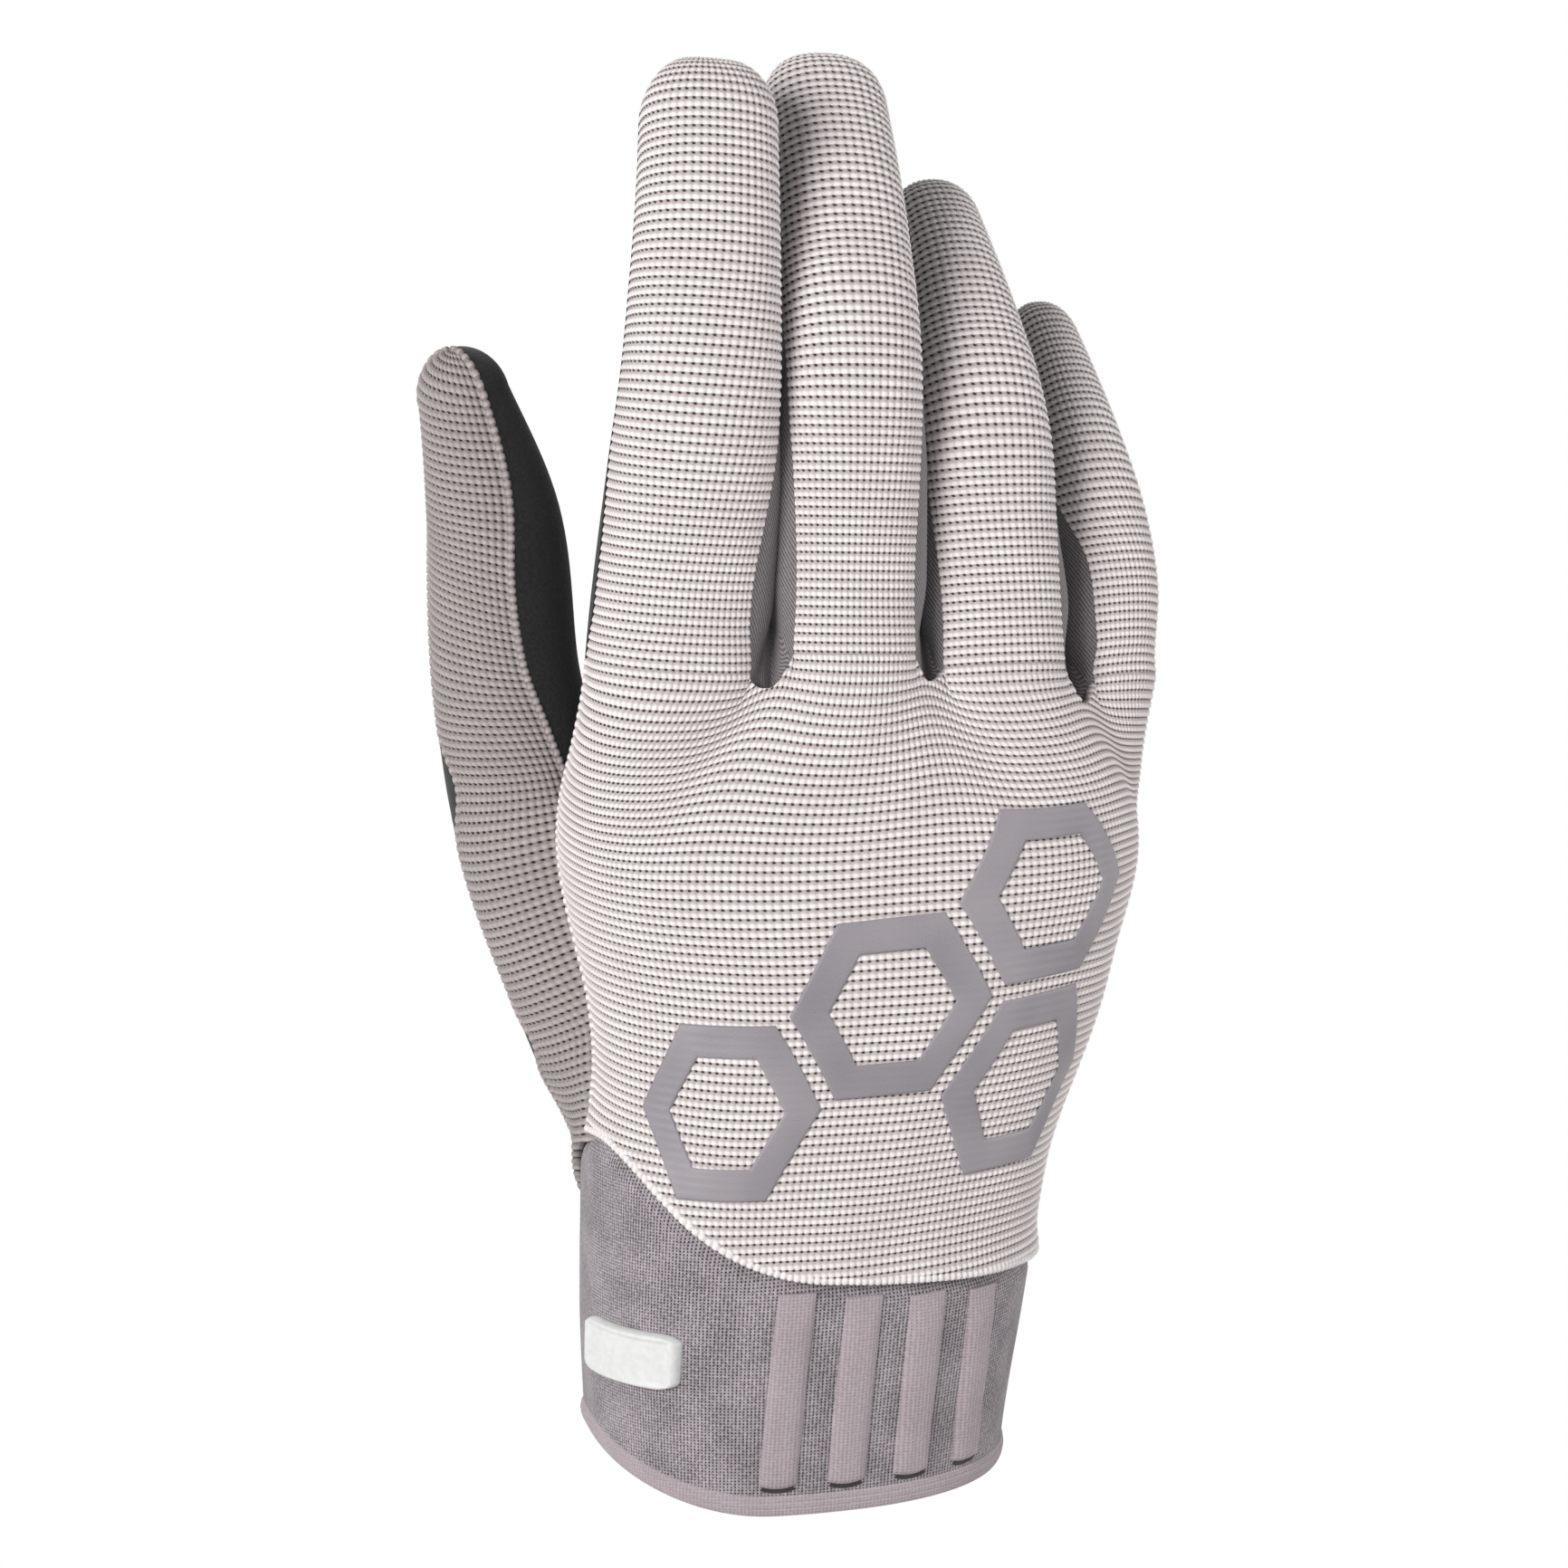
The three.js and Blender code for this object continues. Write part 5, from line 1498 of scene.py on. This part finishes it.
STRETCH_WALL = 0.9
TWILL_PITCH = 0.5
SIDE_STRIP_TOP = 0.79
SIDE_COLUMNS = 13
SIDE_BASE_ROWS = 24
SIDE_TIP_ROWS = 40
SIDE_SINK = 0.4
SIDE_FULLNESS = 1.35
SIDE_RISE = (0, 0.13)
SIDE_FADE = (0.3, 0.55)
NARROW_GAP_FADE = (0.12, 0.34)
FOLD_CLIMB = 12.0
FOLD_CLIMB_RISE = (0.1, 0.65)
FOLD_CLIMB_FALL = (0.72, 1)
FOLD_TUCK = 2.0
FOLD_TUCK_END = 0.16
FOLD_LOBE = 0.9
FOLD_LOBES = 3
FOLD_LOBE_RISE = (0.05, 0.2)
FOLD_LOBE_FALL = (0.5, 0.9)
FOLD_STEPS = 31


def stretch_material():
    material, shader, start = new_material("stretch_twill")
    flat, across, along = cloth_place(start)
    grain = start.noise(flat, scale=2.2, detail=3.0)
    rib = ((across * 0.85 + along * 0.53) * (1 / TWILL_PITCH)).wave()
    tint = (rib * 0.6 + grain * 0.4).rise(0.2, 0.8).tint(colour(88, 83, 85), colour(150, 143, 146))
    finish_cloth(shader, start, tint, rib, strength=0.5, depth=0.0002, roughness=0.8, sheen=0.2)
    return material


def side_surface(finger, low, high, fade):
    """The side of a finger between two of its seams, full near the root and sunk beyond the fade."""
    def surface(share, place):
        seams = finger_seams(finger, place)
        inset = SIDE_SINK - SIDE_FULLNESS * hill(place, SIDE_RISE, fade) * np.sin(math.pi * share)
        return finger_point(finger, place, seams[low] + (seams[high] - seams[low]) * share, inset)
    return surface


stretch = stretch_material()
for finger in FINGERS:
    middle = change_place(finger)
    edges = [("thumbward", 2, 0), ("outward", 1, 3)]
    if finger is FINGERS[0]:
        edges = edges[1:]
    if finger is FINGERS[-1]:
        edges = edges[:1]
    for word, low, high in edges:
        narrow = finger is FINGERS[-1] or (finger is FINGERS[-2] and word == "outward")
        surface = side_surface(finger, low, high, NARROW_GAP_FADE if narrow else SIDE_FADE)
        for part, places in (
            ("base", np.linspace(0, middle, SIDE_BASE_ROWS)),
            ("tip", np.linspace(middle, SIDE_STRIP_TOP, SIDE_TIP_ROWS)),
        ):
            side_places = np.meshgrid(np.linspace(0, 1, SIDE_COLUMNS), places)
            side_part = plain_panel(surface, *side_places, STRETCH_WALL)
            strip = make_piece(f"{finger['name']}_{word}_stretch_{part}", side_part, stretch, crisp=True)
            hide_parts(f"{finger['name']}_{word}_side_{part}")
            bend_finger(strip, finger, part)


def fold_surface(finger, after, knit_dip):
    """The strip at the bottom of a gap, from one finger across to the next and from back to palm."""
    seams, next_seams = finger_seams(finger, 0), finger_seams(after, 0)

    def surface(across, along):
        climb = FOLD_CLIMB * hill(along, FOLD_CLIMB_RISE, FOLD_CLIMB_FALL)
        hollow = np.maximum(4 * across * (1 - across), 0) ** (CROTCH_ROUND + (1 - CROTCH_ROUND) * along)
        tuck = (1 - smooth_step(along, 0, FOLD_TUCK_END)) * np.sqrt(hollow)
        start_angle = seams[1] + (seams[3] - seams[1]) * along
        end_angle = next_seams[0] + (next_seams[2] - next_seams[0]) * along
        start = finger_point(finger, climb / finger["length"], start_angle, SIDE_SINK + tuck)
        end = finger_point(after, climb / after["length"], end_angle, SIDE_SINK + tuck)
        point = start + (end - start) * across[..., None]
        point[..., 2] = start[..., 2] + (end - start)[..., 2] * gap_fall(across, start[..., 2], end[..., 2])
        dip = knit_dip + (CROTCH_DIP - knit_dip) * along
        lobes = np.sin(FOLD_LOBES * math.pi * across) * hill(along, FOLD_LOBE_RISE, FOLD_LOBE_FALL)
        point[..., 2] += FOLD_LOBE * lobes - dip * hollow - FOLD_TUCK * tuck
        return point
    return surface


fold_places = np.meshgrid(np.linspace(0, 1, FOLD_STEPS), np.linspace(0, 1, FOLD_STEPS))
for finger, after, knit_dip in zip(FINGERS, FINGERS[1:], KNIT_DIPS):
    fold_part = plain_panel(fold_surface(finger, after, knit_dip), *fold_places, STRETCH_WALL)
    fold = make_piece(f"{finger['name']}_{after['name']}_fold", fold_part, stretch, crisp=True)
    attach(fold, "hand")
    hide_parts(f"{finger['name']}_{after['name']}_crotch")


# Floor, light and camera
# A plain white studio: a soft light on the thumb's side, a weaker one on the outer side and one behind.
# The white floor keeps the shadow pale.

PHOTO_SIZE = 1732
FOCAL_PIXELS = 4550
CAMERA_AZIMUTH = math.radians(-14)
CAMERA_ELEVATION = math.radians(13)
CAMERA_DISTANCE = 0.650
CAMERA_TARGET = Vector(in_frame(np.array([0.0, 8.0, 109.7])))
SENSOR = 36.0
WORLD_LIGHT = 0.25
LIGHT_AIM = Vector((0, 0, 0.11))
FLOOR_HALF = 3.0
FLOOR_DROP = 0.0002
FLOOR_GREY = 0.86

camera_data = bpy.data.cameras.new("camera")
camera_data.sensor_width = SENSOR
camera_data.lens = SENSOR * FOCAL_PIXELS / PHOTO_SIZE
camera = bpy.data.objects.new("camera", camera_data)
bpy.context.scene.collection.objects.link(camera)
towards_camera = Vector((
    math.sin(CAMERA_AZIMUTH) * math.cos(CAMERA_ELEVATION),
    -math.cos(CAMERA_AZIMUTH) * math.cos(CAMERA_ELEVATION),
    math.sin(CAMERA_ELEVATION),
))
camera.location = CAMERA_TARGET + towards_camera * CAMERA_DISTANCE
camera.rotation_mode = "QUATERNION"
camera.rotation_quaternion = (-towards_camera).to_track_quat("-Z", "Y")
bpy.context.scene.camera = camera
bpy.context.scene.view_settings.view_transform = "Standard"


def area_light(name, place, size, power):
    data = bpy.data.lights.new(name, "AREA")
    data.shape = "DISK"
    data.size = size
    data.energy = power
    light = bpy.data.objects.new(name, data)
    light.location = place
    light.rotation_mode = "QUATERNION"
    light.rotation_quaternion = (LIGHT_AIM - Vector(place)).to_track_quat("-Z", "Y")
    bpy.context.scene.collection.objects.link(light)


area_light("key", (-0.98, -0.78, 0.6), size=0.6, power=14.2)
area_light("fill", (1.05, -0.4, 0.5), size=0.8, power=5.5)
area_light("back", (0.1, 0.9, 0.7), size=0.8, power=3)

floor_mesh = bpy.data.meshes.new("floor")
floor_corners = [(x * FLOOR_HALF, y * FLOOR_HALF, 0) for x, y in ((-1, -1), (1, -1), (1, 1), (-1, 1))]
floor_mesh.from_pydata(floor_corners, [], [(0, 1, 2, 3)])
floor = bpy.data.objects.new("floor", floor_mesh)
floor.location.z = -FLOOR_DROP
bpy.context.scene.collection.objects.link(floor)


def white_seen(start):
    """1 where the camera, a mirror or a glass looks straight at a surface, 0 for its light on others."""
    path = start.node("ShaderNodeLightPath", {}, {})
    outputs = path.socket.node.outputs
    names = ("Is Camera Ray", "Is Glossy Ray", "Is Transmission Ray")
    direct, glossy, clear = (Shade(start.tree, outputs[name]) for name in names)
    return direct.math("MINIMUM", direct + glossy + clear, 1.0)


floor_material, floor_shader, floor_start = new_material("floor_white")
floor_shader.inputs["Base Color"].default_value = (FLOOR_GREY, FLOOR_GREY, FLOOR_GREY, 1)
floor_shader.inputs["Roughness"].default_value = 1.0
floor_shader.inputs["Specular IOR Level"].default_value = 0.0
glow = floor_start.node("ShaderNodeEmission", {}, {"Color": (1, 1, 1, 1), "Strength": 1.0})
mixed = floor_start.node(
    "ShaderNodeMixShader", {},
    {0: white_seen(floor_start), 1: Shade(floor_start.tree, floor_shader.outputs[0]), 2: glow},
)
floor_start.tree.links.new(mixed.socket, floor_start.tree.nodes["Material Output"].inputs["Surface"])
floor_mesh.materials.append(floor_material)

world = bpy.data.worlds.new("studio")
world.use_nodes = True
bpy.context.scene.world = world
world_start = Shade(world.node_tree, None)
background = world.node_tree.nodes["Background"]
background.inputs["Color"].default_value = (1, 1, 1, 1)
strength = WORLD_LIGHT + white_seen(world_start) * (1 - WORLD_LIGHT)
world.node_tree.links.new(strength.socket, background.inputs["Strength"])
